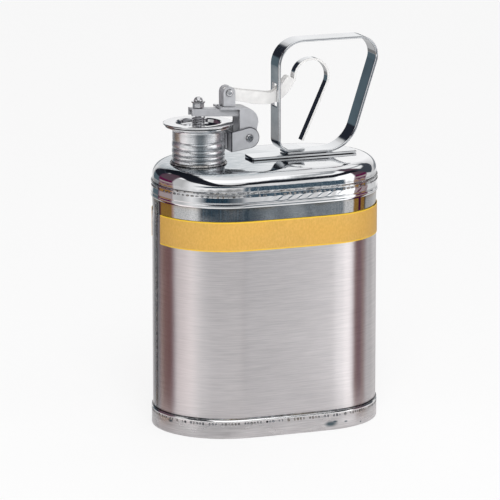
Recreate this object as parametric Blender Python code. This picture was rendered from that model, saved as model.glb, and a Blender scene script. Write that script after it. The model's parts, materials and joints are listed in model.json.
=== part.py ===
"""One-gallon flat-oval stainless safety can: a trigger in the handle opens a spring-closed cap."""

import math

import bmesh
import bpy
from mathutils import Matrix, Vector

MM = 0.001

# Clearance between touching pieces, and the turning clearance of a pin in its hole
GAP = 0.3 * MM
PIN_PLAY = 0.3 * MM

# Body: a flat oval of two end arcs and two slightly bowed sides
HALF_WIDTH = 95.0 * MM
HALF_DEPTH = 60.0 * MM
SIDE_BOW = 0.7 * MM
BODY_WALL = 0.8 * MM
BODY_TOP = 203.1 * MM
END_STEPS = 20
SIDE_STEPS = 6

# Bottom pan and head are pressed from a thinner sheet and lap over the body
SHEET = 0.6 * MM
HEM_BULGE = 0.2 * MM
HEM_HEIGHT = 1.6 * MM
HEM_EASE = 0.3
SKIRT_HEIGHT = 15.6 * MM
PLATE_RISE = 5.0 * MM
LAP_HEIGHT = 11.4 * MM
HEAD_WALL = 4.1 * MM
SHOULDER_RADIUS = 11.3 * MM
SHOULDER_STEPS = 6
WELD_SIZE = 0.65 * MM
WELD_SHOULDER = 0.8
WELD_CROWN = 0.25
NECK_WELD = 1.6 * MM
NECK_WELD_FACE = 0.45

# Upright seam of the body, and the stripe that stops short of it on both sides
SEAM_WIDTH = 3.0 * MM
SEAM_HEIGHT = 0.4 * MM
SEAM_CLEAR = 2.5 * MM
STRIPE_HEIGHT = 24.5 * MM
STRIPE_BELOW_LAP = 11.5 * MM
STRIPE_THICKNESS = 0.25 * MM
STRIPE_NEAR_CLEAR = 8.6 * MM
STRIPE_FAR_CLEAR = 24.0 * MM

# Neck: ribbed tube with a flared lip
NECK_INSET = 36.9 * MM
NECK_RADIUS = 21.4 * MM
NECK_WALL = 1.1 * MM
NECK_RIB = 0.5 * MM
NECK_GROOVE = 0.5 * MM
GROOVE_HEIGHTS = (4.5 * MM, 8.2 * MM, 13.0 * MM, 19.1 * MM)
RIB_STEPS = 4
NECK_STRAIGHT = 26.9 * MM
FLARE_REACH = 6.0 * MM
FLARE_RISE = 3.8 * MM
FLARE_STEPS = 5
NECK_TAIL = 4.0 * MM
ROUND_STEPS = 32

# Flame arrester hanging in the neck
ARRESTER_RIM_DEPTH = 8.0 * MM
ARRESTER_RIM_HEIGHT = 2.0 * MM
SCREEN_RADIUS = 16.8 * MM
SCREEN_WALL = 0.5 * MM
SCREEN_LENGTH = 56.0 * MM
SCREEN_CAP_SKIRT = 4.0 * MM

# Cap: a dished disc with a turned-down rim over a flat gasket
CAP_RADIUS = 29.1 * MM
CAP_SHEET = 0.7 * MM
CAP_RIM_DROP = 1.4 * MM
DISH_RADIUS = 18.4 * MM
DISH_DEPTH = 4.3 * MM
GASKET_THICKNESS = 1.0 * MM
GASKET_RADIUS = 27.8 * MM

# Stud with a domed head over a washer and a hexagon nut, and the spring that seats the cap
STUD_RADIUS = 2.5 * MM
STUD_FOOT_RADIUS = 6.0 * MM
STUD_FOOT_HEIGHT = 1.9 * MM
DOME_RADIUS = 3.8 * MM
DOME_HEIGHT = 3.8 * MM
DOME_STEPS = 5
WASHER_RADIUS = 5.65 * MM
WASHER_THICKNESS = 1.1 * MM
NUT_FLAT_RADIUS = 4.15 * MM
NUT_HEIGHT = 3.5 * MM
SEAT_WIRE = 1.0 * MM
SEAT_COIL_RADIUS = 5.0 * MM
SEAT_TURNS = 4

# Cap arm: an inverted channel that slopes down towards the hinge
ARM_OVER_LIP = 13.8 * MM
ARM_SLOPE = 0.0677
ARM_HALF_WIDTH = 4.6 * MM
ARM_DEPTH = 6.2 * MM
ARM_SHEET = 1.4 * MM
ARM_LEFT = 7.2 * MM
ARM_RIGHT = 34.0 * MM
ARM_CORNER = 2.5 * MM

# Hinge of the cap lever, on a bracket beside the neck
HINGE_FROM_NECK = 40.6 * MM
HINGE_BELOW_LIP = 12.0 * MM
EAR_RADIUS = 8.8 * MM
EAR_OUTER = 11.2 * MM
EAR_SHEET = 1.6 * MM
WEB_FROM_HINGE = 15.9 * MM
WEB_TOP = 5.7 * MM
WEB_BOTTOM = -11.0 * MM
SADDLE_HALF_WIDTH = 3.0 * MM
SADDLE_MARGIN = 1.6 * MM
HINGE_PIN_RADIUS = 2.2 * MM
HINGE_HEAD_RADIUS = 3.2 * MM
HINGE_HEAD_HEIGHT = 1.5 * MM
EYELET_RADIUS = 1.3 * MM
EYELET_RIM_RADIUS = 2.2 * MM
SLEEVE_WALL = 0.9 * MM

# Lever bracket: a wide inverted U over the arm, its cheeks on the hinge pin
BRACKET_SHEET = 1.5 * MM
BRACKET_OUTER = 8.65 * MM
PLATE_LEFT = 24.4 * MM
PLATE_LIP = 0.3 * MM
CHEEK_RADIUS = 7.5 * MM
CHEEK_BULGE = 8.7 * MM
CHEEK_BULGE_RISE = 12.4 * MM
CHEEK_WAIST_RISE = 7.0 * MM
CHEEK_CORNER = 12.7 * MM
RIVET_RADIUS = 1.1 * MM
RIVET_HEAD_RADIUS = 1.9 * MM
RIVET_HEAD_HEIGHT = 0.9 * MM
RIVET_FROM_HINGE = 22.6 * MM
HEAD_FLAT = 0.5
HEAD_EDGE = 0.4

# Lug on the bracket, with the lever pin
LEVER_PIN_BACK = 15.5 * MM
LEVER_PIN_RISE = 37.6 * MM
LUG_RADIUS = 5.2 * MM
LUG_OUTER = 5.4 * MM
LUG_SHEET = 1.2 * MM
LEVER_PIN_RADIUS = 1.6 * MM
LEVER_HEAD_RADIUS = 3.0 * MM
LEVER_HEAD_HEIGHT = 1.2 * MM

# Closing spring round the hinge pin
SPRING_WIRE = 1.5 * MM
SPRING_PITCH = 1.95 * MM
SPRING_TURNS = 4
SPRING_LEG_ANGLE = math.radians(135)
SPRING_LEG_TOP = 22.0 * MM
TURN_POINTS = 9

# Trigger lever: a channel open upwards, ending in a flat-strip finger hook
LEVER_HALF_WIDTH = 3.9 * MM
LEVER_SHEET = 1.8 * MM
LEVER_END_RADIUS = 3.4 * MM

# Edges of the lever's channel: (x, z) from the lever pin at first, then from the handle's front
UPPER_FROM_PIN = ((3.2 * MM, 3.2 * MM), (15.9 * MM, 0.7 * MM))
UPPER_FROM_HANDLE = (
    (-5.6 * MM, -2.3 * MM), (-1.0 * MM, -1.6 * MM), (3.6 * MM, 2.8 * MM), (9.3 * MM, 9.6 * MM),
    (11.1 * MM, 10.4 * MM),
)
LOWER_FROM_PIN = ((5.9 * MM, -7.2 * MM), (14.2 * MM, -8.9 * MM), (21.2 * MM, -10.9 * MM))
LOWER_FROM_HANDLE = (
    (-12.6 * MM, -11.6 * MM), (-4.7 * MM, -12.0 * MM), (1.5 * MM, -10.0 * MM), (5.8 * MM, -7.3 * MM),
    (10.9 * MM, -2.8 * MM), (14.0 * MM, 1.4 * MM), (15.7 * MM, 5.4 * MM), (16.8 * MM, 7.2 * MM),
)

# Finger hook of the trigger
HOOK_RADIUS = 14.9 * MM
HOOK_CENTRE_X = 31.2 * MM
HOOK_CENTRE_RISE = 8.4 * MM
HOOK_START = math.radians(187)
HOOK_END = math.radians(-24.5)
HOOK_LEG = 51.6 * MM
HOOK_STEPS = 18

# Handle: one flat band bent to a closed D, its front foot on its rear foot, on a strap
HANDLE_FROM_HINGE = 26.2 * MM
HANDLE_BAND = 2.2 * MM
HANDLE_HALF_WIDTH = 9.5 * MM
HANDLE_OVER_HOOK = 14.5 * MM
HANDLE_OVERHANG = 2.0 * MM
HANDLE_FRONT_FOOT = 23.5 * MM
HANDLE_REAR_FOOT_INSET = 8.3 * MM
HANDLE_LOW_FRONT_RADIUS = 8.9 * MM
HANDLE_TOP_FRONT_RADIUS = 20.9 * MM
HANDLE_TOP_REAR_RADIUS = 15.9 * MM
HANDLE_LOW_REAR_RADIUS = 28.1 * MM
HANDLE_LEG_LEAN = math.radians(17.7)
HANDLE_BEND_STEPS = 8
SLOT_BELOW_PIN = 14.5 * MM
SLOT_ABOVE_PIN = 4.0 * MM
SLOT_CLEARANCE = 0.7 * MM
STRAP_THICKNESS = 2.0 * MM
STRAP_FRONT = 22.8 * MM
STRAP_REAR = 17.0 * MM
STRAP_CORNER = 1.2 * MM

# Levels and places that follow from the sizes above
END_RADIUS = HALF_DEPTH - SIDE_BOW
LAP_INNER = GAP
LAP_OUTER = GAP + SHEET
HEM_OUTER = LAP_OUTER + HEM_BULGE
LAP_TOP = BODY_TOP + 2 * SHEET
LAP_BOTTOM = LAP_TOP - LAP_HEIGHT
JOGGLE_TOP = LAP_TOP + LAP_OUTER
DECK_Z = JOGGLE_TOP + HEAD_WALL + SHOULDER_RADIUS
NECK_X = NECK_INSET - HALF_WIDTH
LIP_Z = DECK_Z + NECK_STRAIGHT + FLARE_RISE + NECK_WALL
BORE_RADIUS = NECK_RADIUS - NECK_GROOVE - NECK_WALL
GASKET_Z = LIP_Z + GAP
CAP_UNDERSIDE = GASKET_Z + GASKET_THICKNESS + GAP
CAP_TOP = CAP_UNDERSIDE + CAP_SHEET
DISH_FLOOR = CAP_TOP - DISH_DEPTH
HINGE_X = NECK_X + HINGE_FROM_NECK
HINGE_Z = LIP_Z - HINGE_BELOW_LIP
EAR_INNER = EAR_OUTER - EAR_SHEET
WEB_X = HINGE_X - WEB_FROM_HINGE
BRACKET_INNER = BRACKET_OUTER - BRACKET_SHEET
LEVER_PIN_X = HINGE_X - LEVER_PIN_BACK
LEVER_PIN_Z = HINGE_Z + LEVER_PIN_RISE
HANDLE_X = HINGE_X + HANDLE_FROM_HINGE
HOOK_CENTRE = (HANDLE_X + HOOK_CENTRE_X, LEVER_PIN_Z + HOOK_CENTRE_RISE)
HANDLE_TOP = HOOK_CENTRE[1] + HOOK_RADIUS + LEVER_SHEET / 2 + HANDLE_OVER_HOOK + HANDLE_BAND
STRAP_Z = DECK_Z + GAP
REAR_FOOT_Z = STRAP_Z + STRAP_THICKNESS + GAP
FRONT_FOOT_Z = REAR_FOOT_Z + HANDLE_BAND + GAP

HINGE_AXIS = Vector((HINGE_X, 0, HINGE_Z))
LEVER_AXIS = Vector((LEVER_PIN_X, 0, LEVER_PIN_Z))
CAP_AXIS = Vector((NECK_X, 0, CAP_TOP))


def clear_scene():
    for item in list(bpy.data.objects):
        bpy.data.objects.remove(item)


def finish(piece, colour, roughness, metallic):
    """Gives a piece its own surface."""
    surface = bpy.data.materials.new(piece.name + "_finish")
    surface.use_nodes = True
    shader = surface.node_tree.nodes["Principled BSDF"]
    shader.inputs["Base Color"].default_value = (*colour, 1)
    shader.inputs["Roughness"].default_value = roughness
    shader.inputs["Metallic"].default_value = metallic
    piece.data.materials.clear()
    piece.data.materials.append(surface)


def brushed_steel(piece):
    finish(piece, (0.50, 0.48, 0.47), 0.36, 1.0)


def polished_steel(piece):
    finish(piece, (0.62, 0.63, 0.65), 0.16, 1.0)


def satin_steel(piece):
    finish(piece, (0.48, 0.48, 0.50), 0.42, 1.0)


def solid(name, rings, wrap=False):
    """Joins rings of points into one closed solid, end to end or with flat ends."""
    count = len(rings[0])
    mesh = bmesh.new()
    corners = [[mesh.verts.new(point) for point in ring] for ring in rings]
    stations = len(rings) if wrap else len(rings) - 1
    for i in range(stations):
        here = corners[i]
        there = corners[(i + 1) % len(rings)]
        for j in range(count):
            k = (j + 1) % count
            mesh.faces.new((here[j], here[k], there[k], there[j]))
    if not wrap:
        mesh.faces.new(corners[0])
        mesh.faces.new(corners[-1])
    bmesh.ops.recalc_face_normals(mesh, faces=mesh.faces)
    data = bpy.data.meshes.new(name)
    mesh.to_mesh(data)
    mesh.free()
    piece = bpy.data.objects.new(name, data)
    bpy.context.scene.collection.objects.link(piece)
    return piece


def combine(piece, tool, operation):
    """Cuts the tool out of the piece, or welds it on, and removes the tool."""
    step = piece.modifiers.new("step", "BOOLEAN")
    step.operation = operation
    step.object = tool
    result = piece.evaluated_get(bpy.context.evaluated_depsgraph_get())
    data = bpy.data.meshes.new_from_object(result)
    piece.modifiers.clear()
    piece.data = data
    bpy.data.objects.remove(tool)


def hang_on(piece, pivot):
    """Parents a piece to its joint's empty, with its origin on the joint's axis."""
    piece.data.transform(Matrix.Translation(-pivot.location))
    piece.parent = pivot


def joint_empty(name, place):
    pivot = bpy.data.objects.new(name, None)
    pivot.location = place
    bpy.context.scene.collection.objects.link(pivot)
    return pivot


def arc(centre, radius, start, end, steps):
    """Points of an arc in a plane, from one angle to another."""
    points = []
    for i in range(steps + 1):
        angle = start + (end - start) * i / steps
        points.append((centre[0] + radius * math.cos(angle), centre[1] + radius * math.sin(angle)))
    return points


def side_radius():
    """Radius of the bowed sides, which meet the end arcs without a kink."""
    reach = HALF_WIDTH - END_RADIUS
    return (reach**2 + HALF_DEPTH**2 - END_RADIUS**2) / (2 * (HALF_DEPTH - END_RADIUS))


def oval_point(angle, offset):
    """Point of the oval whose outward normal has this angle, moved out by an offset."""
    reach = HALF_WIDTH - END_RADIUS
    drop = side_radius() - HALF_DEPTH
    across, along = math.cos(angle), math.sin(angle)
    if abs(across) >= math.cos(math.atan2(drop, reach)):
        centre = (math.copysign(reach, across), 0)
        radius = END_RADIUS + offset
    else:
        centre = (0, -math.copysign(drop, along))
        radius = side_radius() + offset
    return centre[0] + radius * across, centre[1] + radius * along


def oval_angles(start, end):
    """Normals of the oval's outline from one angle to another, closer on the flat sides."""
    join = math.atan2(side_radius() - HALF_DEPTH, HALF_WIDTH - END_RADIUS)
    marks = []
    for quarter in range(4):
        middle = quarter * math.pi / 2
        half = join if quarter % 2 == 0 else math.pi / 2 - join
        steps = END_STEPS if quarter % 2 == 0 else SIDE_STEPS
        marks += [middle - half + 2 * half * i / steps for i in range(steps)]
    turns = [mark + 2 * math.pi * turn for turn in (-1, 0, 1) for mark in marks]
    tolerance = 1e-4
    inside = [mark for mark in turns if start + tolerance < mark < end - tolerance]
    return [start] + sorted(inside) + [end]


def oval_ring(offset, height):
    angles = oval_angles(0, 2 * math.pi)[:-1]
    return [(*oval_point(angle, offset), height) for angle in angles]


def oval_hoop(name, profile, start=0.0, end=2 * math.pi):
    """Sweeps a profile of (offset, height) points round the oval, or round part of it."""
    whole = end - start > 2 * math.pi - 1e-6
    angles = oval_angles(start, end)
    if whole:
        angles = angles[:-1]
    rings = [[(*oval_point(angle, offset), height) for offset, height in profile] for angle in angles]
    return solid(name, rings, wrap=whole)


def turned(name, profile, centre=(0, 0), steps=ROUND_STEPS):
    """Turns a closed profile of (radius, height) points about an upright axis."""
    rings = []
    for i in range(steps):
        angle = 2 * math.pi * i / steps
        across, along = math.cos(angle), math.sin(angle)
        rings.append([(centre[0] + r * across, centre[1] + r * along, z) for r, z in profile])
    return solid(name, rings, wrap=True)


def peg(name, profile, centre, steps=16):
    """Round solid along Y at (x, z), from (radius, y) points; its ends are flat discs."""
    rings = []
    for radius, y in profile:
        circle = arc(centre, radius, 0, 2 * math.pi, steps)[:-1]
        rings.append([(x, y, z) for x, z in circle])
    return solid(name, rings)


def post(name, profile, centre, steps=24):
    """Round solid along Z at (x, y), from (radius, z) points; its ends are flat discs."""
    rings = []
    for radius, z in profile:
        circle = arc(centre, radius, 0, 2 * math.pi, steps)[:-1]
        rings.append([(x, y, z) for x, y in circle])
    return solid(name, rings)


def prism(name, outline, half_width):
    """Outline of (x, z) points, made solid from -half_width to +half_width in Y."""
    near = [(x, -half_width, z) for x, z in outline]
    far = [(x, half_width, z) for x, z in outline]
    return solid(name, [near, far])


def ribbon(name, centreline, thickness, half_width):
    """Flat strip that follows a line of (x, z) points, its width along Y."""
    rings = []
    for i, (x, z) in enumerate(centreline):
        before = Vector(centreline[max(i - 1, 0)])
        after = Vector(centreline[min(i + 1, len(centreline) - 1)])
        along = (after - before).normalized()
        across = Vector((-along.y, along.x)) * thickness / 2
        near = Vector((x, z)) - across
        far = Vector((x, z)) + across
        rings.append([
            (near.x, -half_width, near.y),
            (far.x, -half_width, far.y),
            (far.x, half_width, far.y),
            (near.x, half_width, near.y),
        ])
    return solid(name, rings)


def raised(line, distance):
    """A line of (x, z) points moved to its left side by a distance."""
    moved = []
    for i, (x, z) in enumerate(line):
        before = Vector(line[max(i - 1, 0)])
        after = Vector(line[min(i + 1, len(line) - 1)])
        along = (after - before).normalized()
        moved.append((x - along.y * distance, z + along.x * distance))
    return moved


def bored(piece, centre, radius, half_length):
    """Drills a hole along Y through a piece."""
    drill = peg("drill", [(radius, -half_length), (radius, half_length)], centre)
    combine(piece, drill, "DIFFERENCE")


def wire(name, points, diameter):
    """A bent wire: one tube through the points."""
    curve = bpy.data.curves.new(name, "CURVE")
    curve.dimensions = "3D"
    curve.bevel_depth = diameter / 2
    curve.bevel_resolution = 1
    curve.use_fill_caps = True
    line = curve.splines.new("POLY")
    line.points.add(len(points) - 1)
    for knot, point in zip(line.points, points):
        knot.co = (*point, 1)
    piece = bpy.data.objects.new(name, curve)
    bpy.context.scene.collection.objects.link(piece)
    print(name, "least gap to itself", round(least_gap(points, diameter) / MM, 2), "mm")
    return piece


def least_gap(points, diameter):
    """Least distance between turns of a wire, less its diameter, measured on its points."""
    apart = TURN_POINTS // 2
    spots = [Vector(point) for point in points]
    nearest = min(
        (spots[i] - spots[j]).length
        for i in range(len(spots))
        for j in range(i + apart, len(spots))
    )
    return nearest - diameter


def make_body():
    shell = oval_hoop("body_shell", [
        (0, SHEET + GAP), (0, BODY_TOP), (-BODY_WALL, BODY_TOP), (-BODY_WALL, SHEET + GAP),
    ])
    brushed_steel(shell)

    upstand = -(BODY_WALL + GAP)
    plate_top = PLATE_RISE + SHEET
    foot_round = SHEET / 2
    pan_profile = [
        (upstand - SHEET, plate_top), (upstand, plate_top - SHEET), (upstand, SHEET),
        (LAP_INNER, SHEET), (LAP_INNER, SKIRT_HEIGHT), (LAP_OUTER, SKIRT_HEIGHT),
        (HEM_OUTER, SKIRT_HEIGHT - HEM_EASE * HEM_HEIGHT),
        (HEM_OUTER, SKIRT_HEIGHT - (1 - HEM_EASE) * HEM_HEIGHT),
        (LAP_OUTER, SKIRT_HEIGHT - HEM_HEIGHT), (LAP_OUTER, foot_round), (LAP_OUTER - foot_round, 0),
        (upstand - SHEET, 0), (upstand - SHEET, PLATE_RISE - foot_round),
        (upstand - SHEET - foot_round, PLATE_RISE),
    ]
    pan = solid("bottom_pan", [oval_ring(offset, height) for offset, height in pan_profile])
    brushed_steel(pan)

    skirt_weld = SKIRT_HEIGHT + GAP
    bead = oval_hoop("base_weld_bead", [
        (GAP, skirt_weld), (LAP_OUTER, skirt_weld),
        (LAP_OUTER - WELD_CROWN * WELD_SIZE, skirt_weld + WELD_SHOULDER * WELD_SIZE),
        (GAP, skirt_weld + 2 * WELD_SIZE),
    ])
    polished_steel(bead)

    seam_bottom = SKIRT_HEIGHT + SEAM_CLEAR
    seam_top = LAP_BOTTOM - SEAM_CLEAR
    half_seam = math.asin(SEAM_WIDTH / 2 / END_RADIUS)
    seam = oval_hoop("side_weld_seam", [
        (GAP, seam_bottom), (GAP, seam_top),
        (GAP + SEAM_HEIGHT, seam_top), (GAP + SEAM_HEIGHT, seam_bottom),
    ], math.pi - half_seam, math.pi + half_seam)
    brushed_steel(seam)

    stripe_top = LAP_BOTTOM - STRIPE_BELOW_LAP
    stripe_bottom = stripe_top - STRIPE_HEIGHT
    near_end = math.asin(STRIPE_NEAR_CLEAR / END_RADIUS) - math.pi
    far_end = math.pi - math.asin(STRIPE_FAR_CLEAR / END_RADIUS)
    stripe = oval_hoop("yellow_band", [
        (GAP, stripe_bottom), (GAP, stripe_top),
        (GAP + STRIPE_THICKNESS, stripe_top), (GAP + STRIPE_THICKNESS, stripe_bottom),
    ], near_end, far_end)
    finish(stripe, (0.76, 0.44, 0.10), 0.45, 0.0)


def make_head():
    centre_z = DECK_Z - SHOULDER_RADIUS
    outside = arc((-SHOULDER_RADIUS, centre_z), SHOULDER_RADIUS, math.pi / 2, 0, SHOULDER_STEPS)
    inner_radius = SHOULDER_RADIUS - SHEET
    inside = arc((-SHOULDER_RADIUS, centre_z), inner_radius, 0, math.pi / 2, SHOULDER_STEPS)
    joggle_inner = LAP_TOP - SHEET / 2
    profile = outside + [
        (0, JOGGLE_TOP), (LAP_OUTER, LAP_TOP), (LAP_OUTER, LAP_BOTTOM + HEM_HEIGHT),
        (HEM_OUTER, LAP_BOTTOM + (1 - HEM_EASE) * HEM_HEIGHT),
        (HEM_OUTER, LAP_BOTTOM + HEM_EASE * HEM_HEIGHT),
        (LAP_OUTER, LAP_BOTTOM), (LAP_INNER, LAP_BOTTOM), (LAP_INNER, joggle_inner),
        (-SHEET, joggle_inner + LAP_INNER + SHEET),
    ] + inside
    head = solid("top_head", [oval_ring(offset, height) for offset, height in profile])
    hole = NECK_RADIUS - NECK_GROOVE + GAP
    drill = post("drill", [(hole, DECK_Z - SHOULDER_RADIUS), (hole, DECK_Z + GAP)], (NECK_X, 0),
                 ROUND_STEPS)
    combine(head, drill, "DIFFERENCE")
    polished_steel(head)

    ledge = JOGGLE_TOP + GAP / 2
    bead = oval_hoop("top_weld_bead", [
        (GAP, ledge), (GAP + WELD_SIZE, ledge - WELD_SIZE),
        (GAP + WELD_SHOULDER * WELD_SIZE, ledge + WELD_CROWN * WELD_SIZE),
        (GAP, ledge + (1 + WELD_CROWN) * WELD_SIZE),
    ])
    polished_steel(bead)


def neck_profile():
    """Outside of the neck from the deck to the lip, then the bore back down."""
    groove = NECK_RADIUS - NECK_GROOVE
    crest = NECK_RADIUS + NECK_RIB
    points = [(groove, DECK_Z - NECK_TAIL), (groove, DECK_Z + GAP)]
    below = GAP
    for height in GROOVE_HEIGHTS:
        for i in range(1, RIB_STEPS + 1):
            part = i / RIB_STEPS
            radius = groove + (crest - groove) * math.sin(math.pi * part)
            points.append((radius, DECK_Z + below + (height - below) * part))
        below = height
    straight_top = DECK_Z + NECK_STRAIGHT
    points.append((NECK_RADIUS, DECK_Z + below + NECK_GROOVE * 2))
    flare = [math.pi / 2 * i / FLARE_STEPS for i in range(FLARE_STEPS + 1)]
    for turn in flare:
        reach = FLARE_REACH * (1 - math.cos(turn))
        points.append((NECK_RADIUS + reach, straight_top + FLARE_RISE * math.sin(turn)))
    for turn in reversed(flare):
        reach = FLARE_REACH * (1 - math.cos(turn)) - (NECK_WALL + NECK_GROOVE) * math.cos(turn)
        rise = (FLARE_RISE + NECK_WALL) * math.sin(turn)
        points.append((NECK_RADIUS + reach, straight_top + rise))
    points.append((BORE_RADIUS, DECK_Z - NECK_TAIL))
    return points


def make_neck():
    neck = turned("neck", neck_profile(), (NECK_X, 0))
    polished_steel(neck)

    foot = NECK_RADIUS + NECK_RIB + GAP
    weld = turned("neck_weld_ring", [
        (foot, DECK_Z + GAP), (foot + NECK_WELD, DECK_Z + GAP),
        (foot + NECK_WELD_FACE * NECK_WELD, DECK_Z + GAP + NECK_WELD_FACE * NECK_WELD),
        (foot, DECK_Z + GAP + NECK_WELD),
    ], (NECK_X, 0))
    polished_steel(weld)

    rim_top = DECK_Z + NECK_STRAIGHT - ARRESTER_RIM_DEPTH
    rim_bottom = rim_top - ARRESTER_RIM_HEIGHT
    screen_outer = SCREEN_RADIUS + SCREEN_WALL
    rim = turned("arrester_rim", [
        (screen_outer + GAP, rim_bottom), (BORE_RADIUS - GAP, rim_bottom),
        (BORE_RADIUS - GAP, rim_top), (screen_outer + GAP, rim_top),
    ], (NECK_X, 0))
    polished_steel(rim)
    screen_bottom = rim_top - SCREEN_LENGTH
    screen = turned("arrester_screen", [
        (SCREEN_RADIUS, screen_bottom), (screen_outer, screen_bottom),
        (screen_outer, rim_top), (SCREEN_RADIUS, rim_top),
    ], (NECK_X, 0))
    satin_steel(screen)
    cup_outer = screen_outer + GAP + SCREEN_WALL
    floor = screen_bottom - GAP
    cup = post("arrester_cap", [
        (cup_outer, floor - SCREEN_WALL), (cup_outer, floor + SCREEN_CAP_SKIRT),
        (cup_outer - SCREEN_WALL, floor + SCREEN_CAP_SKIRT), (cup_outer - SCREEN_WALL, floor),
    ], (NECK_X, 0), ROUND_STEPS)
    satin_steel(cup)


def arm_top(x):
    """Height of the arm's upper face, which slopes down towards the hinge."""
    return LIP_Z + ARM_OVER_LIP - ARM_SLOPE * (x - NECK_X)


def make_cap(pivot):
    hub_hole = STUD_RADIUS + PIN_PLAY
    bend = CAP_SHEET
    cap = turned("cap", [
        (hub_hole, DISH_FLOOR), (DISH_RADIUS - bend, DISH_FLOOR), (DISH_RADIUS, DISH_FLOOR + bend),
        (DISH_RADIUS, CAP_TOP), (CAP_RADIUS - bend / 2, CAP_TOP), (CAP_RADIUS, CAP_TOP - bend / 2),
        (CAP_RADIUS, CAP_TOP - CAP_RIM_DROP), (CAP_RADIUS - bend, CAP_TOP - CAP_RIM_DROP),
        (CAP_RADIUS - bend, CAP_UNDERSIDE), (DISH_RADIUS + bend, CAP_UNDERSIDE),
        (DISH_RADIUS + bend, DISH_FLOOR), (DISH_RADIUS, DISH_FLOOR - bend), (hub_hole, DISH_FLOOR - bend),
    ], (NECK_X, 0))
    polished_steel(cap)
    gasket_inner = DISH_RADIUS + CAP_SHEET + GAP
    gasket = turned("cap_gasket", [
        (gasket_inner, GASKET_Z), (GASKET_RADIUS, GASKET_Z),
        (GASKET_RADIUS, GASKET_Z + GASKET_THICKNESS), (gasket_inner, GASKET_Z + GASKET_THICKNESS),
    ], (NECK_X, 0))
    finish(gasket, (0.03, 0.03, 0.03), 0.7, 0.0)
    hang_on(cap, pivot)
    hang_on(gasket, pivot)


def make_stud(pivot):
    """Stud through cap, arm, nut and washer, with its domed head on top, and the seat spring."""
    centre = (NECK_X, 0)
    foot_top = DISH_FLOOR - CAP_SHEET - GAP
    nut_z = arm_top(NECK_X) + GAP + ARM_SLOPE * WASHER_RADIUS
    washer_z = nut_z + NUT_HEIGHT + GAP
    dome_z = washer_z + WASHER_THICKNESS + GAP
    stud_profile = [
        (STUD_FOOT_RADIUS, foot_top - STUD_FOOT_HEIGHT), (STUD_FOOT_RADIUS, foot_top),
        (STUD_RADIUS, foot_top), (STUD_RADIUS, dome_z),
    ]
    for i in range(DOME_STEPS):
        turn = math.pi / 2 * i / DOME_STEPS
        stud_profile.append((DOME_RADIUS * math.cos(turn), dome_z + DOME_HEIGHT * math.sin(turn)))
    stud = post("cap_stud", stud_profile, centre)
    satin_steel(stud)
    bore = STUD_RADIUS + PIN_PLAY
    washer = turned("stud_washer", [
        (bore, washer_z), (WASHER_RADIUS, washer_z),
        (WASHER_RADIUS, washer_z + WASHER_THICKNESS), (bore, washer_z + WASHER_THICKNESS),
    ], centre, 24)
    satin_steel(washer)

    nut = solid("cap_nut", [
        hexagon(NUT_FLAT_RADIUS, nut_z, centre), hexagon(NUT_FLAT_RADIUS, nut_z + NUT_HEIGHT, centre),
        round_ring(bore, nut_z + NUT_HEIGHT, centre), round_ring(bore, nut_z, centre),
    ], wrap=True)
    satin_steel(nut)

    tread = ARM_SLOPE * (SEAT_COIL_RADIUS + SEAT_WIRE)
    low = DISH_FLOOR + GAP + SEAT_WIRE / 2
    high = arm_top(NECK_X) - ARM_DEPTH - tread - GAP - SEAT_WIRE / 2
    count = SEAT_TURNS * TURN_POINTS
    coil = []
    for i in range(count + 1):
        angle = 2 * math.pi * i / TURN_POINTS
        x = centre[0] + SEAT_COIL_RADIUS * math.cos(angle)
        y = centre[1] + SEAT_COIL_RADIUS * math.sin(angle)
        coil.append((x, y, low + (high - low) * i / count))
    spring = wire("seat_spring", [Vector(p) - pivot.location for p in coil], SEAT_WIRE)
    satin_steel(spring)
    spring.parent = pivot
    for piece in (stud, washer, nut):
        hang_on(piece, pivot)


def hexagon(flat_radius, height, centre, steps=24):
    """Hexagon with as many points as a circle of that many steps."""
    points = []
    for i in range(steps):
        angle = 2 * math.pi * i / steps
        within = (angle + math.pi / 6) % (math.pi / 3) - math.pi / 6
        radius = flat_radius / math.cos(within)
        points.append((centre[0] + radius * math.cos(angle), centre[1] + radius * math.sin(angle), height))
    return points


def round_ring(radius, height, centre, steps=24):
    return [(x, y, height) for x, y in arc(centre, radius, 0, 2 * math.pi, steps)[:-1]]


def make_arm(pivot):
    left = NECK_X - ARM_LEFT
    right = NECK_X + ARM_RIGHT
    fall = math.atan(ARM_SLOPE)
    corner_centre = (right - ARM_CORNER, arm_top(right - ARM_CORNER) - ARM_CORNER)
    corner = arc(corner_centre, ARM_CORNER, math.pi / 2 - fall, 0, 4)
    outline = [(left, arm_top(left))] + corner
    outline += [(right, arm_top(right) - ARM_DEPTH), (left, arm_top(left) - ARM_DEPTH)]
    arm = prism("cap_arm", outline, ARM_HALF_WIDTH)
    below = 2 * ARM_DEPTH
    hollow = prism("hollow", [
        (left - below, arm_top(left - below) - ARM_SHEET), (right - ARM_SHEET, arm_top(right) - ARM_SHEET),
        (right - ARM_SHEET, arm_top(right) - below), (left - below, arm_top(left) - below),
    ], ARM_HALF_WIDTH - ARM_SHEET)
    combine(arm, hollow, "DIFFERENCE")
    reach = ARM_DEPTH + ARM_OVER_LIP
    hole = STUD_RADIUS + PIN_PLAY
    drill = post("drill", [(hole, arm_top(NECK_X) - reach), (hole, arm_top(NECK_X) + reach)], (NECK_X, 0))
    combine(arm, drill, "DIFFERENCE")
    rivet_x = HINGE_X - RIVET_FROM_HINGE
    small = RIVET_RADIUS + PIN_PLAY
    drill = post("drill", [(small, arm_top(rivet_x) - reach), (small, arm_top(rivet_x) + reach)],
                 (rivet_x, 0), 16)
    combine(arm, drill, "DIFFERENCE")
    satin_steel(arm)
    hang_on(arm, pivot)


def plate_top(x):
    """Height of the lever bracket's upper face, which lies on the arm."""
    return arm_top(x) + GAP + BRACKET_SHEET


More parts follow.
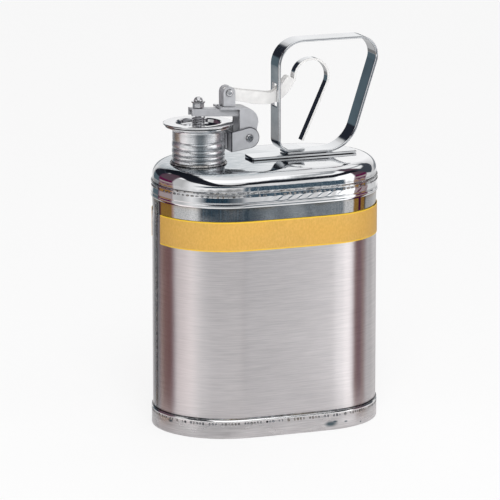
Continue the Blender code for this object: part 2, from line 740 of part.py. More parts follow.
def make_lever_bracket(pivot):
    left = HINGE_X - PLATE_LEFT
    cheek_left = HINGE_X - CHEEK_RADIUS
    bulge = HINGE_X + CHEEK_BULGE
    corner_x = bulge - CHEEK_CORNER
    corner_z = plate_top(corner_x) - CHEEK_CORNER
    corner = arc((corner_x, corner_z), CHEEK_CORNER, math.pi / 2, 0, 7)
    foot = arc((HINGE_X, HINGE_Z), CHEEK_RADIUS, 0, -math.pi, 8)
    outline = [(left, plate_top(left))] + corner
    outline.append((bulge, HINGE_Z + CHEEK_BULGE_RISE))
    outline.append((HINGE_X + CHEEK_RADIUS, HINGE_Z + CHEEK_WAIST_RISE))
    outline += foot
    lip = BRACKET_SHEET + PLATE_LIP
    outline.append((cheek_left, plate_top(cheek_left) - lip))
    outline.append((left, plate_top(left) - lip))
    bracket = prism("lever_bracket", outline, BRACKET_OUTER)
    low = HINGE_Z - 2 * CHEEK_RADIUS
    far_left = left - BRACKET_SHEET
    far_right = bulge + BRACKET_SHEET
    hollow = prism("hollow", [
        (far_left, plate_top(far_left) - BRACKET_SHEET), (far_right, plate_top(far_right) - BRACKET_SHEET),
        (far_right, low), (far_left, low),
    ], BRACKET_INNER)
    combine(bracket, hollow, "DIFFERENCE")
    bored(bracket, (HINGE_X, HINGE_Z), HINGE_PIN_RADIUS + PIN_PLAY, 2 * BRACKET_OUTER)
    rivet_x = HINGE_X - RIVET_FROM_HINGE
    small = RIVET_RADIUS + PIN_PLAY
    level = plate_top(rivet_x)
    drill = post("drill", [(small, level - 2 * BRACKET_SHEET), (small, level + BRACKET_SHEET)],
                 (rivet_x, 0), 16)
    combine(bracket, drill, "DIFFERENCE")
    satin_steel(bracket)
    hang_on(bracket, pivot)

    tilt = ARM_SLOPE * RIVET_HEAD_RADIUS
    head_z = level + GAP + tilt
    tail_z = arm_top(rivet_x) - ARM_SHEET - GAP - tilt
    rivet = post("arm_rivet", [
        (RIVET_HEAD_RADIUS, tail_z - RIVET_HEAD_HEIGHT), (RIVET_HEAD_RADIUS, tail_z),
        (RIVET_RADIUS, tail_z), (RIVET_RADIUS, head_z), (RIVET_HEAD_RADIUS, head_z),
        (HEAD_FLAT * RIVET_HEAD_RADIUS, head_z + RIVET_HEAD_HEIGHT),
    ], (rivet_x, 0), 16)
    satin_steel(rivet)
    hang_on(rivet, pivot)


def make_lug(pivot):
    left = LEVER_PIN_X - LUG_RADIUS
    right = LEVER_PIN_X + LUG_RADIUS
    crown = arc((LEVER_PIN_X, LEVER_PIN_Z), LUG_RADIUS, math.pi, 0, 10)
    outline = crown + [(right, plate_top(right) + GAP), (left, plate_top(left) + GAP)]
    lug = prism("lug", outline, LUG_OUTER)
    over = LEVER_PIN_Z + 2 * LUG_RADIUS
    under = plate_top(right) - LUG_RADIUS
    hollow = prism("hollow", [
        (left + LUG_SHEET, over), (right + LUG_SHEET, over), (right + LUG_SHEET, under),
        (left + LUG_SHEET, under),
    ], LUG_OUTER - LUG_SHEET)
    combine(lug, hollow, "DIFFERENCE")
    bored(lug, (LEVER_PIN_X, LEVER_PIN_Z), LEVER_PIN_RADIUS + PIN_PLAY, 2 * LUG_OUTER)
    satin_steel(lug)
    hang_on(lug, pivot)

    seat = LUG_OUTER + GAP
    top = seat + LEVER_HEAD_HEIGHT
    pin = peg("lever_pin", [
        (HEAD_FLAT * LEVER_HEAD_RADIUS, -top), (LEVER_HEAD_RADIUS, -seat - HEAD_EDGE * LEVER_HEAD_HEIGHT),
        (LEVER_HEAD_RADIUS, -seat), (LEVER_PIN_RADIUS, -seat), (LEVER_PIN_RADIUS, seat),
        (LEVER_HEAD_RADIUS, seat), (LEVER_HEAD_RADIUS, seat + HEAD_EDGE * LEVER_HEAD_HEIGHT),
        (HEAD_FLAT * LEVER_HEAD_RADIUS, top),
    ], (LEVER_PIN_X, LEVER_PIN_Z), 20)
    satin_steel(pin)
    hang_on(pin, pivot)


def make_hinge_bracket():
    centre = (HINGE_X, HINGE_Z)
    web_top = (WEB_X, HINGE_Z + WEB_TOP)
    web_bottom = (WEB_X, HINGE_Z + WEB_BOTTOM)
    outline = [web_bottom, web_top] + arc(centre, EAR_RADIUS, math.radians(105), math.radians(-75), 14)
    bracket = prism("hinge_bracket", outline, EAR_OUTER)
    over = HINGE_Z + 2 * EAR_RADIUS
    under = HINGE_Z - 2 * EAR_RADIUS
    inner_x = WEB_X + EAR_SHEET
    far_x = HINGE_X + 2 * EAR_RADIUS
    hollow = prism("hollow", [(inner_x, over), (far_x, over), (far_x, under), (inner_x, under)], EAR_INNER)
    combine(bracket, hollow, "DIFFERENCE")
    bored(bracket, centre, HINGE_PIN_RADIUS + PIN_PLAY, 2 * EAR_OUTER)
    satin_steel(bracket)

    neck_face = NECK_RADIUS + NECK_RIB + GAP
    low = HINGE_Z + WEB_BOTTOM + SADDLE_MARGIN
    high = HINGE_Z + WEB_TOP - SADDLE_MARGIN
    half_angle = math.asin(SADDLE_HALF_WIDTH / neck_face)
    curve = arc((NECK_X, 0), neck_face, -half_angle, half_angle, 4)
    plan = curve + [(WEB_X - GAP, SADDLE_HALF_WIDTH), (WEB_X - GAP, -SADDLE_HALF_WIDTH)]
    saddle = solid("bracket_saddle", [[(x, y, z) for x, y in plan] for z in (low, high)])
    satin_steel(saddle)

    seat = EAR_OUTER + GAP
    top = seat + HINGE_HEAD_HEIGHT
    pin = peg("hinge_pin", [
        (EYELET_RADIUS, -seat), (EYELET_RADIUS, -top), (EYELET_RIM_RADIUS, -top),
        (HINGE_HEAD_RADIUS, -seat - HEAD_EDGE * HINGE_HEAD_HEIGHT), (HINGE_HEAD_RADIUS, -seat),
        (HINGE_PIN_RADIUS, -seat), (HINGE_PIN_RADIUS, seat), (HINGE_HEAD_RADIUS, seat),
        (HINGE_HEAD_RADIUS, seat + HEAD_EDGE * HINGE_HEAD_HEIGHT), (HEAD_FLAT * HINGE_HEAD_RADIUS, top),
    ], centre, 24)
    satin_steel(pin)

    sleeve_inner = HINGE_PIN_RADIUS + PIN_PLAY
    sleeve_outer = sleeve_inner + SLEEVE_WALL
    half = BRACKET_INNER - GAP
    sleeve = peg("hinge_sleeve", [(sleeve_outer, -half), (sleeve_outer, half)], centre, 20)
    bored(sleeve, centre, sleeve_inner, 2 * half)
    satin_steel(sleeve)


def make_closing_spring():
    """Torsion spring: one leg presses the arm's end, the other the bracket's web."""
    arm_end = NECK_X + ARM_RIGHT
    leg_x = arm_end + GAP + SPRING_WIRE / 2
    radius = HINGE_X - leg_x
    turned_by = 2 * math.pi * SPRING_TURNS - (math.pi - SPRING_LEG_ANGLE)
    width = SPRING_PITCH * turned_by / (2 * math.pi)
    start_y = -width / 2
    points = [(leg_x, start_y, HINGE_Z + SPRING_LEG_TOP), (leg_x, start_y, HINGE_Z + SPRING_LEG_TOP / 2)]
    count = round(turned_by / (2 * math.pi) * TURN_POINTS)
    for i in range(count + 1):
        part = turned_by * i / count
        angle = math.pi + part
        x = HINGE_X + radius * math.cos(angle)
        z = HINGE_Z + radius * math.sin(angle)
        points.append((x, start_y + SPRING_PITCH * part / (2 * math.pi), z))
    last = Vector(points[-1])
    heading = Vector((-math.sin(SPRING_LEG_ANGLE), 0, math.cos(SPRING_LEG_ANGLE)))
    end_x = WEB_X + EAR_SHEET + GAP + SPRING_WIRE / 2
    points.append(last + heading * ((end_x - last.x) / heading.x))
    spring = wire("closing_spring", points, SPRING_WIRE)
    satin_steel(spring)


def lever_lines():
    """Upper edge and lower face of the lever's channel, from its pin to the hook."""
    upper = [(LEVER_PIN_X, LEVER_PIN_Z + LEVER_END_RADIUS)]
    upper += [(LEVER_PIN_X + x, LEVER_PIN_Z + z) for x, z in UPPER_FROM_PIN]
    upper += [(HANDLE_X + x, LEVER_PIN_Z + z) for x, z in UPPER_FROM_HANDLE]
    lower = [(LEVER_PIN_X, LEVER_PIN_Z - LEVER_END_RADIUS)]
    lower += [(LEVER_PIN_X + x, LEVER_PIN_Z + z) for x, z in LOWER_FROM_PIN]
    lower += [(HANDLE_X + x, LEVER_PIN_Z + z) for x, z in LOWER_FROM_HANDLE]
    return upper, lower


def make_trigger(pivot):
    upper, lower = lever_lines()
    left_end = arc((LEVER_PIN_X, LEVER_PIN_Z), LEVER_END_RADIUS, math.pi / 2, 3 * math.pi / 2, 8)
    outline = left_end[1:-1] + lower + upper[::-1]
    lever = prism("trigger_lever", outline, LEVER_HALF_WIDTH)
    floor = raised(lower, LEVER_SHEET)
    over = LEVER_PIN_Z + HOOK_RADIUS
    beyond = LEVER_PIN_X - 2 * LEVER_END_RADIUS
    hollow = prism("hollow", [(beyond, floor[0][1])] + floor + [(floor[-1][0], over), (beyond, over)],
                   LEVER_HALF_WIDTH - LEVER_SHEET)
    combine(lever, hollow, "DIFFERENCE")
    bored(lever, (LEVER_PIN_X, LEVER_PIN_Z), LEVER_PIN_RADIUS + PIN_PLAY, 2 * LEVER_HALF_WIDTH)

    bow = arc(HOOK_CENTRE, HOOK_RADIUS, HOOK_START, HOOK_END, HOOK_STEPS)
    tip = (bow[-1][0] + HOOK_LEG * math.sin(HOOK_END), bow[-1][1] - HOOK_LEG * math.cos(HOOK_END))
    root = raised(lower, LEVER_SHEET / 2)[-2]
    strip = ribbon("strip", [root] + bow + [tip], LEVER_SHEET, LEVER_HALF_WIDTH)
    combine(lever, strip, "UNION")
    satin_steel(lever)
    hang_on(lever, pivot)


def handle_line():
    """Middle line of the handle band, from its front foot round to its rear foot."""
    half = HANDLE_BAND / 2
    front_x = HANDLE_X + half
    top_z = HANDLE_TOP - half
    front_foot = FRONT_FOOT_Z + half
    rear_foot = REAR_FOOT_Z + half
    lean = HANDLE_LEG_LEAN
    low_front = (front_x + HANDLE_LOW_FRONT_RADIUS, front_foot + HANDLE_LOW_FRONT_RADIUS)
    top_front = (front_x + HANDLE_TOP_FRONT_RADIUS, top_z - HANDLE_TOP_FRONT_RADIUS)
    right_edge = HALF_WIDTH + HANDLE_OVERHANG
    top_rear = (right_edge - half - HANDLE_TOP_REAR_RADIUS, top_z - HANDLE_TOP_REAR_RADIUS)
    low_rear_z = rear_foot + HANDLE_LOW_REAR_RADIUS
    leg_top_x = top_rear[0] + HANDLE_TOP_REAR_RADIUS * math.cos(lean)
    leg_top_z = top_rear[1] - HANDLE_TOP_REAR_RADIUS * math.sin(lean)
    leg_low_z = low_rear_z - HANDLE_LOW_REAR_RADIUS * math.sin(lean)
    leg_low_x = leg_top_x - (leg_top_z - leg_low_z) * math.tan(lean)
    low_rear = (leg_low_x - HANDLE_LOW_REAR_RADIUS * math.cos(lean), low_rear_z)
    steps = HANDLE_BEND_STEPS
    line = [(front_x + HANDLE_FRONT_FOOT - half, front_foot)]
    line += arc(low_front, HANDLE_LOW_FRONT_RADIUS, -math.pi / 2, -math.pi, steps)
    line += arc(top_front, HANDLE_TOP_FRONT_RADIUS, math.pi, math.pi / 2, steps)
    line += arc(top_rear, HANDLE_TOP_REAR_RADIUS, math.pi / 2, -lean, steps)
    line += arc(low_rear, HANDLE_LOW_REAR_RADIUS, -lean, -math.pi / 2, steps)
    line.append((HANDLE_X + HANDLE_REAR_FOOT_INSET, rear_foot))
    return line


def make_handle():
    loop = ribbon("handle_loop", handle_line(), HANDLE_BAND, HANDLE_HALF_WIDTH)
    left = HANDLE_X - HANDLE_BAND
    right = HANDLE_X + 2 * HANDLE_BAND
    low = LEVER_PIN_Z - SLOT_BELOW_PIN
    high = LEVER_PIN_Z + SLOT_ABOVE_PIN
    slot = prism("slot", [(left, low), (right, low), (right, high), (left, high)],
                 LEVER_HALF_WIDTH + SLOT_CLEARANCE)
    combine(loop, slot, "DIFFERENCE")
    polished_steel(loop)

    front = HANDLE_X - STRAP_FRONT
    rear = HALF_WIDTH - STRAP_REAR
    inset = STRAP_CORNER
    wide = HANDLE_HALF_WIDTH
    plan = []
    for x, y, start in ((rear - inset, wide - inset, 0), (front + inset, wide - inset, math.pi / 2),
                        (front + inset, inset - wide, math.pi), (rear - inset, inset - wide, 3 * math.pi / 2)):
        plan += arc((x, y), inset, start, start + math.pi / 2, 3)
    strap = solid("handle_strap", [[(x, y, z) for x, y in plan]
                                   for z in (STRAP_Z, STRAP_Z + STRAP_THICKNESS)])
    polished_steel(strap)


def shade_round(angle):
    """Shades every piece smooth, with its edges kept."""
    for piece in bpy.data.objects:
        if piece.type == "MESH":
            piece.data.shade_smooth()
            piece.data.set_sharp_from_angle(angle=angle)


clear_scene()
hinge = joint_empty("hinge_axis", HINGE_AXIS)
lever_joint = joint_empty("lever_axis", LEVER_AXIS)
cap_joint = joint_empty("cap_axis", CAP_AXIS)
make_body()
make_head()
make_neck()
make_cap(cap_joint)
make_stud(hinge)
make_arm(hinge)
make_lever_bracket(hinge)
make_lug(hinge)
make_hinge_bracket()
make_closing_spring()
make_trigger(lever_joint)
make_handle()
shade_round(math.radians(35))
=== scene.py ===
"""One-gallon safety can of stainless steel, dressed for its picture on a white studio floor."""

import json
import math

import bmesh
import bpy
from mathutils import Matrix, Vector


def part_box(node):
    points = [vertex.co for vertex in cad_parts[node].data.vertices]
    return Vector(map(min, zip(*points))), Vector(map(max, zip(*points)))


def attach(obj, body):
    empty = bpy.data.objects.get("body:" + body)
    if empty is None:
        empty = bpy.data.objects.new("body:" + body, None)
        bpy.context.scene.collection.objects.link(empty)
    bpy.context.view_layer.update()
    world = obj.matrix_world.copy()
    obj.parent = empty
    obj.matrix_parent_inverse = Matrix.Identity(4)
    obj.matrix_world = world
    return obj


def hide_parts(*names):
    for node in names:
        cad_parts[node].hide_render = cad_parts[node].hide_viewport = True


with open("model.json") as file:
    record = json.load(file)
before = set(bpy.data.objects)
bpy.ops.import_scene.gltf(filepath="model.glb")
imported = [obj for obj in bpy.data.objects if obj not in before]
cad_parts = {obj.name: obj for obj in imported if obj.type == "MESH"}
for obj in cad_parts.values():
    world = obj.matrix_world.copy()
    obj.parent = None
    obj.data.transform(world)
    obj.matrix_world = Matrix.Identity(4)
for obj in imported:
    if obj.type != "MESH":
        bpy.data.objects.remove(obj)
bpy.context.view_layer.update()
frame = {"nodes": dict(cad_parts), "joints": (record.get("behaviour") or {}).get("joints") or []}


# Body: a tube of stainless sheet, rolled to a flat oval and closed by one upright seam.
# Its two bowed sides run into the end arcs without a kink. It is brushed level all round,
# and buffed bright in the strip that the head is welded over.
MM = 0.001
SIDE_BULGE = 0.7 * MM
BODY_WALL = 0.8 * MM
body_low, body_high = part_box("body_shell")
HALF_WIDTH = body_high.x
HALF_DEPTH = body_high.y
END_RADIUS = HALF_DEPTH - SIDE_BULGE
REACH = HALF_WIDTH - END_RADIUS
SIDE_RADIUS = (REACH**2 + HALF_DEPTH**2 - END_RADIUS**2) / (2 * SIDE_BULGE)
SIDE_DROP = SIDE_RADIUS - HALF_DEPTH
JOIN = math.atan2(SIDE_DROP, REACH)


def oval_point(angle, offset):
    """Point of the oval where its outward normal has this angle, moved out by an offset."""
    across, along = math.cos(angle), math.sin(angle)
    if abs(across) >= math.cos(JOIN):
        radius = END_RADIUS + offset
        return math.copysign(REACH, across) + radius * across, radius * along
    radius = SIDE_RADIUS + offset
    return radius * across, radius * along - math.copysign(SIDE_DROP, along)


def oval_angles(start, end, end_steps=56, side_steps=24):
    """Normals from one angle to another, evenly apart along each arc of the oval."""
    nearest = 1e-3
    marks = []
    for quarter in range(4):
        half = math.pi / 2 - JOIN if quarter % 2 else JOIN
        steps = side_steps if quarter % 2 else end_steps
        middle = quarter * math.pi / 2
        marks += [middle - half + 2 * half * i / steps for i in range(steps)]
    marks = sorted(mark + math.tau * turn for turn in (-1, 0, 1) for mark in marks)
    return [start] + [mark for mark in marks if start + nearest < mark < end - nearest] + [end]


def eased(corners, radius, steps=3):
    """Closed outline with its corners rounded, as far as their sides leave room."""
    most_of_side = 0.45
    line = []
    for i, corner in enumerate(corners):
        here = Vector(corner)
        before = Vector(corners[i - 1]) - here
        after = Vector(corners[(i + 1) % len(corners)]) - here
        room = min(before.length, after.length) * most_of_side
        cut = min(radius / math.tan(before.angle(after) / 2), room)
        if cut < 0.005 * MM:
            line.append(tuple(here))
            continue
        start = here + before.normalized() * cut
        end = here + after.normalized() * cut
        for step in range(steps + 1):
            t = step / steps
            line.append(tuple(start * (1 - t) ** 2 + here * 2 * t * (1 - t) + end * t**2))
    return line


def add_piece(name, shape, finish, edge=40):
    """Turns a bmesh into an object, smooth but for edges sharper than an angle in degrees."""
    mesh = bpy.data.meshes.new(name)
    shape.to_mesh(mesh)
    shape.free()
    mesh.materials.append(finish)
    mesh.shade_smooth()
    mesh.set_sharp_from_angle(angle=math.radians(edge))
    piece = bpy.data.objects.new(name, mesh)
    bpy.context.scene.collection.objects.link(piece)
    return piece


def lofted(rings, endless):
    """Skin over closed rings of points: a hoop where it is endless, else a bar with flat ends."""
    shape = bmesh.new()
    corners = [[shape.verts.new(point) for point in ring] for ring in rings]
    count = len(rings[0])
    for i in range(len(rings) if endless else len(rings) - 1):
        here, there = corners[i], corners[(i + 1) % len(rings)]
        for j in range(count):
            k = (j + 1) % count
            shape.faces.new((here[j], here[k], there[k], there[j]))
    if not endless:
        shape.faces.new(corners[0])
        shape.faces.new(corners[-1])
    bmesh.ops.recalc_face_normals(shape, faces=shape.faces)
    return shape


def oval_hoop(profile, start=0.0, end=math.tau):
    """Sweeps a closed profile of (offset, height) points round the oval, or round part of it."""
    endless = end - start > math.tau - 1e-6
    angles = oval_angles(start, end)
    if endless:
        angles = angles[:-1]
    rings = [[(*oval_point(angle, offset), height) for offset, height in profile] for angle in angles]
    return lofted(rings, endless)


def node(tree, kind, values=None, **settings):
    """Adds a node, with its inputs set or linked by name or number."""
    made = tree.nodes.new(kind)
    for name, value in settings.items():
        setattr(made, name, value)
    for key, value in (values or {}).items():
        if isinstance(value, bpy.types.NodeSocket):
            tree.links.new(value, made.inputs[key])
        else:
            made.inputs[key].default_value = value
    return made


def new_finish(name, look, *values, metallic=1.0, **choices):
    """Material whose look works out its colour, roughness and normal from Object coordinates."""
    finish = bpy.data.materials.new(name)
    finish.use_nodes = True
    tree = finish.node_tree
    place = node(tree, "ShaderNodeTexCoord").outputs["Object"]
    shader = tree.nodes["Principled BSDF"]
    for label, value in zip(("Base Color", "Roughness", "Normal"), look(place, *values, **choices)):
        tree.links.new(value, shader.inputs[label])
    shader.inputs["Metallic"].default_value = metallic
    return finish


def height_of(place):
    return node(place.id_data, "ShaderNodeSeparateXYZ", {"Vector": place}).outputs["Z"]


def grain(place, scale, detail=3.0, distortion=0.0):
    """Noise with its own number of cells per metre along each axis."""
    tree = place.id_data
    stretch = node(tree, "ShaderNodeMapping", {"Vector": place, "Scale": scale})
    cells = node(tree, "ShaderNodeTexNoise", {
        "Vector": stretch.outputs[0], "Scale": 1.0, "Detail": detail, "Distortion": distortion,
    })
    return cells.outputs["Fac"]


def opaque(colour):
    """RGBA value of a colour or a grey. A socket stays as it is."""
    if isinstance(colour, bpy.types.NodeSocket):
        return colour
    return (*colour, 1.0) if isinstance(colour, tuple) else (colour, colour, colour, 1.0)


def ramp(factor, stops):
    """Colours along a factor from 0 to 1."""
    made = node(factor.id_data, "ShaderNodeValToRGB", {"Fac": factor})
    elements = made.color_ramp.elements
    while len(elements) < len(stops):
        elements.new(1.0)
    for element, (position, colour) in zip(elements, stops):
        element.position = position
        element.color = opaque(colour)
    return made.outputs["Color"]


def between(value, low, high, new_low=0.0, new_high=1.0):
    """Value moved from one range to another, level outside it."""
    moved = node(value.id_data, "ShaderNodeMapRange", {
        "Value": value, "From Min": low, "From Max": high, "To Min": new_low, "To Max": new_high,
    }, interpolation_type="SMOOTHSTEP")
    return moved.outputs["Result"]


def calc(operation, first, second=0.0):
    """Result of one sum."""
    return node(first.id_data, "ShaderNodeMath", {0: first, 1: second}, operation=operation).outputs[0]


def times(first, second):
    return calc("MULTIPLY", first, second)


def blended(factor, first, second):
    """Two levels mixed by a factor."""
    return node(first.id_data, "ShaderNodeMix", {0: factor, 2: first, 3: second}).outputs[0]


def mixed(factor, first, second):
    """Two colours mixed by a factor."""
    values = {0: factor, 6: opaque(first), 7: opaque(second)}
    return node(factor.id_data, "ShaderNodeMix", values, data_type="RGBA").outputs[2]


def bumped(height, depth, strength, normal=None):
    """Normal of a relief this deep, on top of another."""
    values = {"Height": height, "Distance": depth, "Strength": strength}
    if normal:
        values["Normal"] = normal
    return node(height.id_data, "ShaderNodeBump", values).outputs[0]


BUFFED_FROM = 180.5 * MM
head_low, head_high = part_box("top_head")
LAP_BOTTOM = head_low.z


def brushed_body(place):
    """Level brush marks, a speckled buffed strip, straw heat tint by the head's weld, and painted shade
    under its lap.
    """
    height = height_of(place)
    cloud = grain(place, (22, 22, 34))
    long_streaks = grain(place, (45, 45, 1300), 4)
    fine_streaks = grain(place, (120, 120, 5200), 2)
    streaks = blended(0.35, long_streaks, fine_streaks)
    brushed = ramp(streaks, [(0.30, (0.70, 0.665, 0.67)), (0.70, (0.94, 0.89, 0.895))])
    clouded = mixed(between(cloud, 0.3, 0.75, 0.0, 0.22), brushed, (0.70, 0.665, 0.665))
    specks = grain(place, (900, 900, 1400))
    speckled = ramp(specks, [(0.35, (0.56, 0.57, 0.58)), (0.6, (0.71, 0.71, 0.72))])
    buffed = between(height, BUFFED_FROM - 1.0 * MM, BUFFED_FROM + 1.0 * MM)
    near_weld = between(height, LAP_BOTTOM - 4.9 * MM, LAP_BOTTOM + 0.6 * MM)
    heat = times(times(near_weld, between(cloud, 0.42, 0.62)), 0.6)
    tinted = mixed(heat, mixed(buffed, clouded, speckled), (0.45, 0.33, 0.2))
    # Painted shade: a near-black line on the wall just under the head's lap flange.
    lap_shade = between(height, LAP_BOTTOM - 0.8 * MM, LAP_BOTTOM - 0.2 * MM, 0.0, 0.85)
    dull = between(streaks, 0.3, 0.7, 0.29, 0.36)
    bright = between(cloud, 0.3, 0.7, 0.04, 0.09)
    dents = bumped(grain(place, (30, 30, 55), 1), 0.35 * MM, 0.5)
    colour = mixed(lap_shade, tinted, (0.04, 0.045, 0.05))
    return colour, blended(buffed, dull, bright), bumped(streaks, 0.02 * MM, 0.5, dents)


BODY_STEEL = new_finish("brushed_body", brushed_body)
tree = BODY_STEEL.node_tree
shader = tree.nodes["Principled BSDF"]
tangent = node(tree, "ShaderNodeTangent", direction_type="RADIAL", axis="Z")
tree.links.new(tangent.outputs[0], shader.inputs["Tangent"])
shader.inputs["Anisotropic"].default_value = 0.97
shader.inputs["Anisotropic Rotation"].default_value = 0.25


def dress(piece, body, source):
    """Fixes a piece to its body, in place of the plain solid that it stands for."""
    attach(piece, body)
    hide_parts(source)


def fit(name, shape, finish, source, body="can", edge=40):
    """Makes a piece of a shape and dresses it."""
    dress(add_piece(name, shape, finish, edge), body, source)


# Pinch: the wall leans in over its fall, up to this height, and out again over its rise.
PINCH_Z = 181 * MM
PINCH_DEPTH = 0.42 * MM
PINCH_FALL = 8 * MM
PINCH_RISE = 12.5 * MM
pinch = [(-PINCH_DEPTH * (1 - share), PINCH_Z + PINCH_RISE * share) for share in (0, 0.07, 0.93, 1)]
body_section = eased([
    (0, body_low.z), (0, PINCH_Z - PINCH_FALL), *pinch,
    (0, body_high.z), (-BODY_WALL, body_high.z), (-BODY_WALL, body_low.z),
], 0.15 * MM)
fit("body_sheet", oval_hoop(body_section), BODY_STEEL, "body_shell")


# Bottom pan: pressed sheet, its skirt lapped round the foot of the body, its upper edge
# rolled over to a rounded hem, painted near white for its polish and a painted highlight.
# It stands on the fold between skirt and plate.
SHEET = 0.6 * MM
GAP = 0.3 * MM
LAP_OUTER = GAP + SHEET
PLATE_RISE = 5.0 * MM
PLATE_RINGS = 10
SKIRT_RINGS = 9
pan_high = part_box("bottom_pan")[1]
SKIRT_TOP = pan_high.z
HEM_OUTER = pan_high.x - HALF_WIDTH


def mm(*sizes):
    """Sizes in millimetres, as metres."""
    return tuple(size * MM for size in sizes)


# Dark marks on the skirt: the middle of each and its half sizes.
SKIRT_MARKS = (
    (mm(35.7, -60.2, 5.2), mm(7.5, 7.5, 3.2)),
    (mm(39.7, -60.1, 6.8), mm(3.0, 4.0, 1.2)),
    (mm(-91.5, -22.6, 11.0), mm(3.0, 4.0, 2.0)),
    (mm(65.1, -52.5, 2.8), mm(1.1, 4.0, 1.0)),
    (mm(49.7, -58.5, 5.8), mm(2.2, 4.0, 1.0)),
)

# Dents: the middle of each, its half sizes and how far it is pushed in.
SKIRT_DENTS = (
    (mm(36, -60, 6.5), mm(9, 20, 6), mm(0, 0.9, 0)),
    (mm(52, -57, 8.5), mm(8, 20, 5), mm(0, 0.5, 0)),
    (mm(-80, -40, 9), mm(5, 15, 4), mm(0.3, 0.3, 0)),
)


def vector(operation, first, second):
    """Result of one vector sum."""
    values = {0: first, 1: second}
    return node(first.id_data, "ShaderNodeVectorMath", values, operation=operation).outputs[0]


def length_of(value):
    return node(value.id_data, "ShaderNodeVectorMath", {0: value}, operation="LENGTH").outputs["Value"]


def spot_mask(place, centre, size):
    """Near 1 in the middle of a stretched spot, 0 outside it."""
    away = vector("DIVIDE", vector("SUBTRACT", place, centre), size)
    return between(length_of(away), 0.25, 1.0, 0.9, 0.0)


def satin_skirt(place):
    """Faint level streaks with a few dark marks, and a hem painted near white: its polish and a painted
    highlight.
    """
    streaks = grain(place, (60, 60, 1500))
    cloud = grain(place, (45, 45, 70), 3, 0.6)
    colour = ramp(streaks, [(0.3, (0.52, 0.50, 0.505)), (0.7, (0.72, 0.695, 0.70))])
    for middle, size in SKIRT_MARKS:
        colour = mixed(spot_mask(place, middle, size), colour, (0.05, 0.09, 0.11))
    # The hem is painted near white: partly its own polish, partly a painted highlight.
    hem = between(height_of(place), SKIRT_TOP - 1.9 * MM, SKIRT_TOP - 1.1 * MM)
    rough = blended(hem, between(cloud, 0.35, 0.7, 0.24, 0.44), 0.13)
    waves = bumped(grain(place, (38, 38, 90), 2), 0.5 * MM, 0.6)
    return mixed(hem, colour, (0.97, 0.97, 0.97)), rough, bumped(streaks, 0.015 * MM, 0.4, waves)


upstand = -(BODY_WALL + GAP)
pan_section = [
    (upstand - SHEET, PLATE_RISE + SHEET), (upstand, PLATE_RISE), (upstand, SHEET), (GAP, SHEET),
    (GAP, SKIRT_TOP - 0.1 * MM), (LAP_OUTER - 0.4 * MM, SKIRT_TOP),
    (HEM_OUTER - 0.08 * MM, SKIRT_TOP - 0.85 * MM), (HEM_OUTER, SKIRT_TOP - 1.1 * MM),
    (HEM_OUTER - 0.06 * MM, SKIRT_TOP - 1.4 * MM), (LAP_OUTER, SKIRT_TOP - 1.7 * MM),
    (LAP_OUTER, 0.9 * MM), (LAP_OUTER - 0.25 * MM, 0.25 * MM), (LAP_OUTER - 0.9 * MM, 0),
    (upstand - SHEET + 0.5 * MM, 0), (upstand - SHEET, 0.5 * MM),
    (upstand - SHEET, PLATE_RISE - SHEET), (upstand - 1.8 * SHEET, PLATE_RISE),
]


def dented(ring, dents):
    """Ring pushed in where a dent reaches it."""
    moved = []
    for point in ring:
        here = Vector(point)
        for place, size, push in dents:
            away = sum(((here[i] - place[i]) / size[i]) ** 2 for i in range(3))
            if away < 1:
                here = here + Vector(push) * (1 - away) ** 2
        moved.append(tuple(here))
    return moved


def oval_ring(offset, height):
    """Level ring of points all round the oval."""
    return [(*oval_point(angle, offset), height) for angle in oval_angles(0, math.tau)[:-1]]


def filled_pan():
    """The pan as one skin: its skirt swept round the oval, its plate closed by shrinking rings."""
    section = []
    for here, there in zip(pan_section, pan_section[1:]):
        steps = SKIRT_RINGS if here[0] == there[0] == LAP_OUTER else 1
        section += [(here[0], here[1] + (there[1] - here[1]) * i / steps) for i in range(steps)]
    section.append(pan_section[-1])
    rings = [dented(oval_ring(offset, height), SKIRT_DENTS) for offset, height in section]

    def shrunk(ring, step):
        """Ring of the plate, drawn in towards its middle."""
        share = step / PLATE_RINGS
        return [(x * share, y * share, z) for x, y, z in ring]

    inner_top = [shrunk(rings[0], step) for step in range(1, PLATE_RINGS)]
    inner_under = [shrunk(rings[-1], step) for step in range(PLATE_RINGS - 1, 0, -1)]
    return lofted(inner_top + rings + inner_under, False)


SKIRT_STEEL = new_finish("satin_skirt", satin_skirt)
fit("bottom_pan_sheet", filled_pan(), SKIRT_STEEL, "bottom_pan")


# Welds: each seam is a row of small nuggets that a welding wheel or torch left one on
# another. They are darker and duller than the sheet, with a breath of straw colour.
def heat_weld(place, bright, dark):
    spots = grain(place, (420, 420, 420))
    broad = grain(place, (60, 60, 60), 2)
    colour = ramp(spots, [(0.32, dark), (0.62, bright)])
    straw = mixed(between(broad, 0.45, 0.7, 0.0, 0.35), colour, (0.42, 0.33, 0.22))
    rough = between(spots, 0.3, 0.7, 0.34, 0.18)
    return straw, rough, bumped(spots, 0.06 * MM, 0.7)


def new_tree(name, sizes):
    """Geometry Nodes tree with a named input for each size, one for its material, and its ends."""
    tree = bpy.data.node_groups.new(name, "GeometryNodeTree")
    tree.interface.new_socket("Geometry", in_out="INPUT", socket_type="NodeSocketGeometry")
    for label, value in sizes.items():
        kind = "NodeSocketInt" if isinstance(value, int) else "NodeSocketFloat"
        tree.interface.new_socket(label, in_out="INPUT", socket_type=kind).default_value = value
    tree.interface.new_socket("Material", in_out="INPUT", socket_type="NodeSocketMaterial")
    tree.interface.new_socket("Geometry", in_out="OUTPUT", socket_type="NodeSocketGeometry")
    return tree, node(tree, "NodeGroupInput").outputs, node(tree, "NodeGroupOutput")


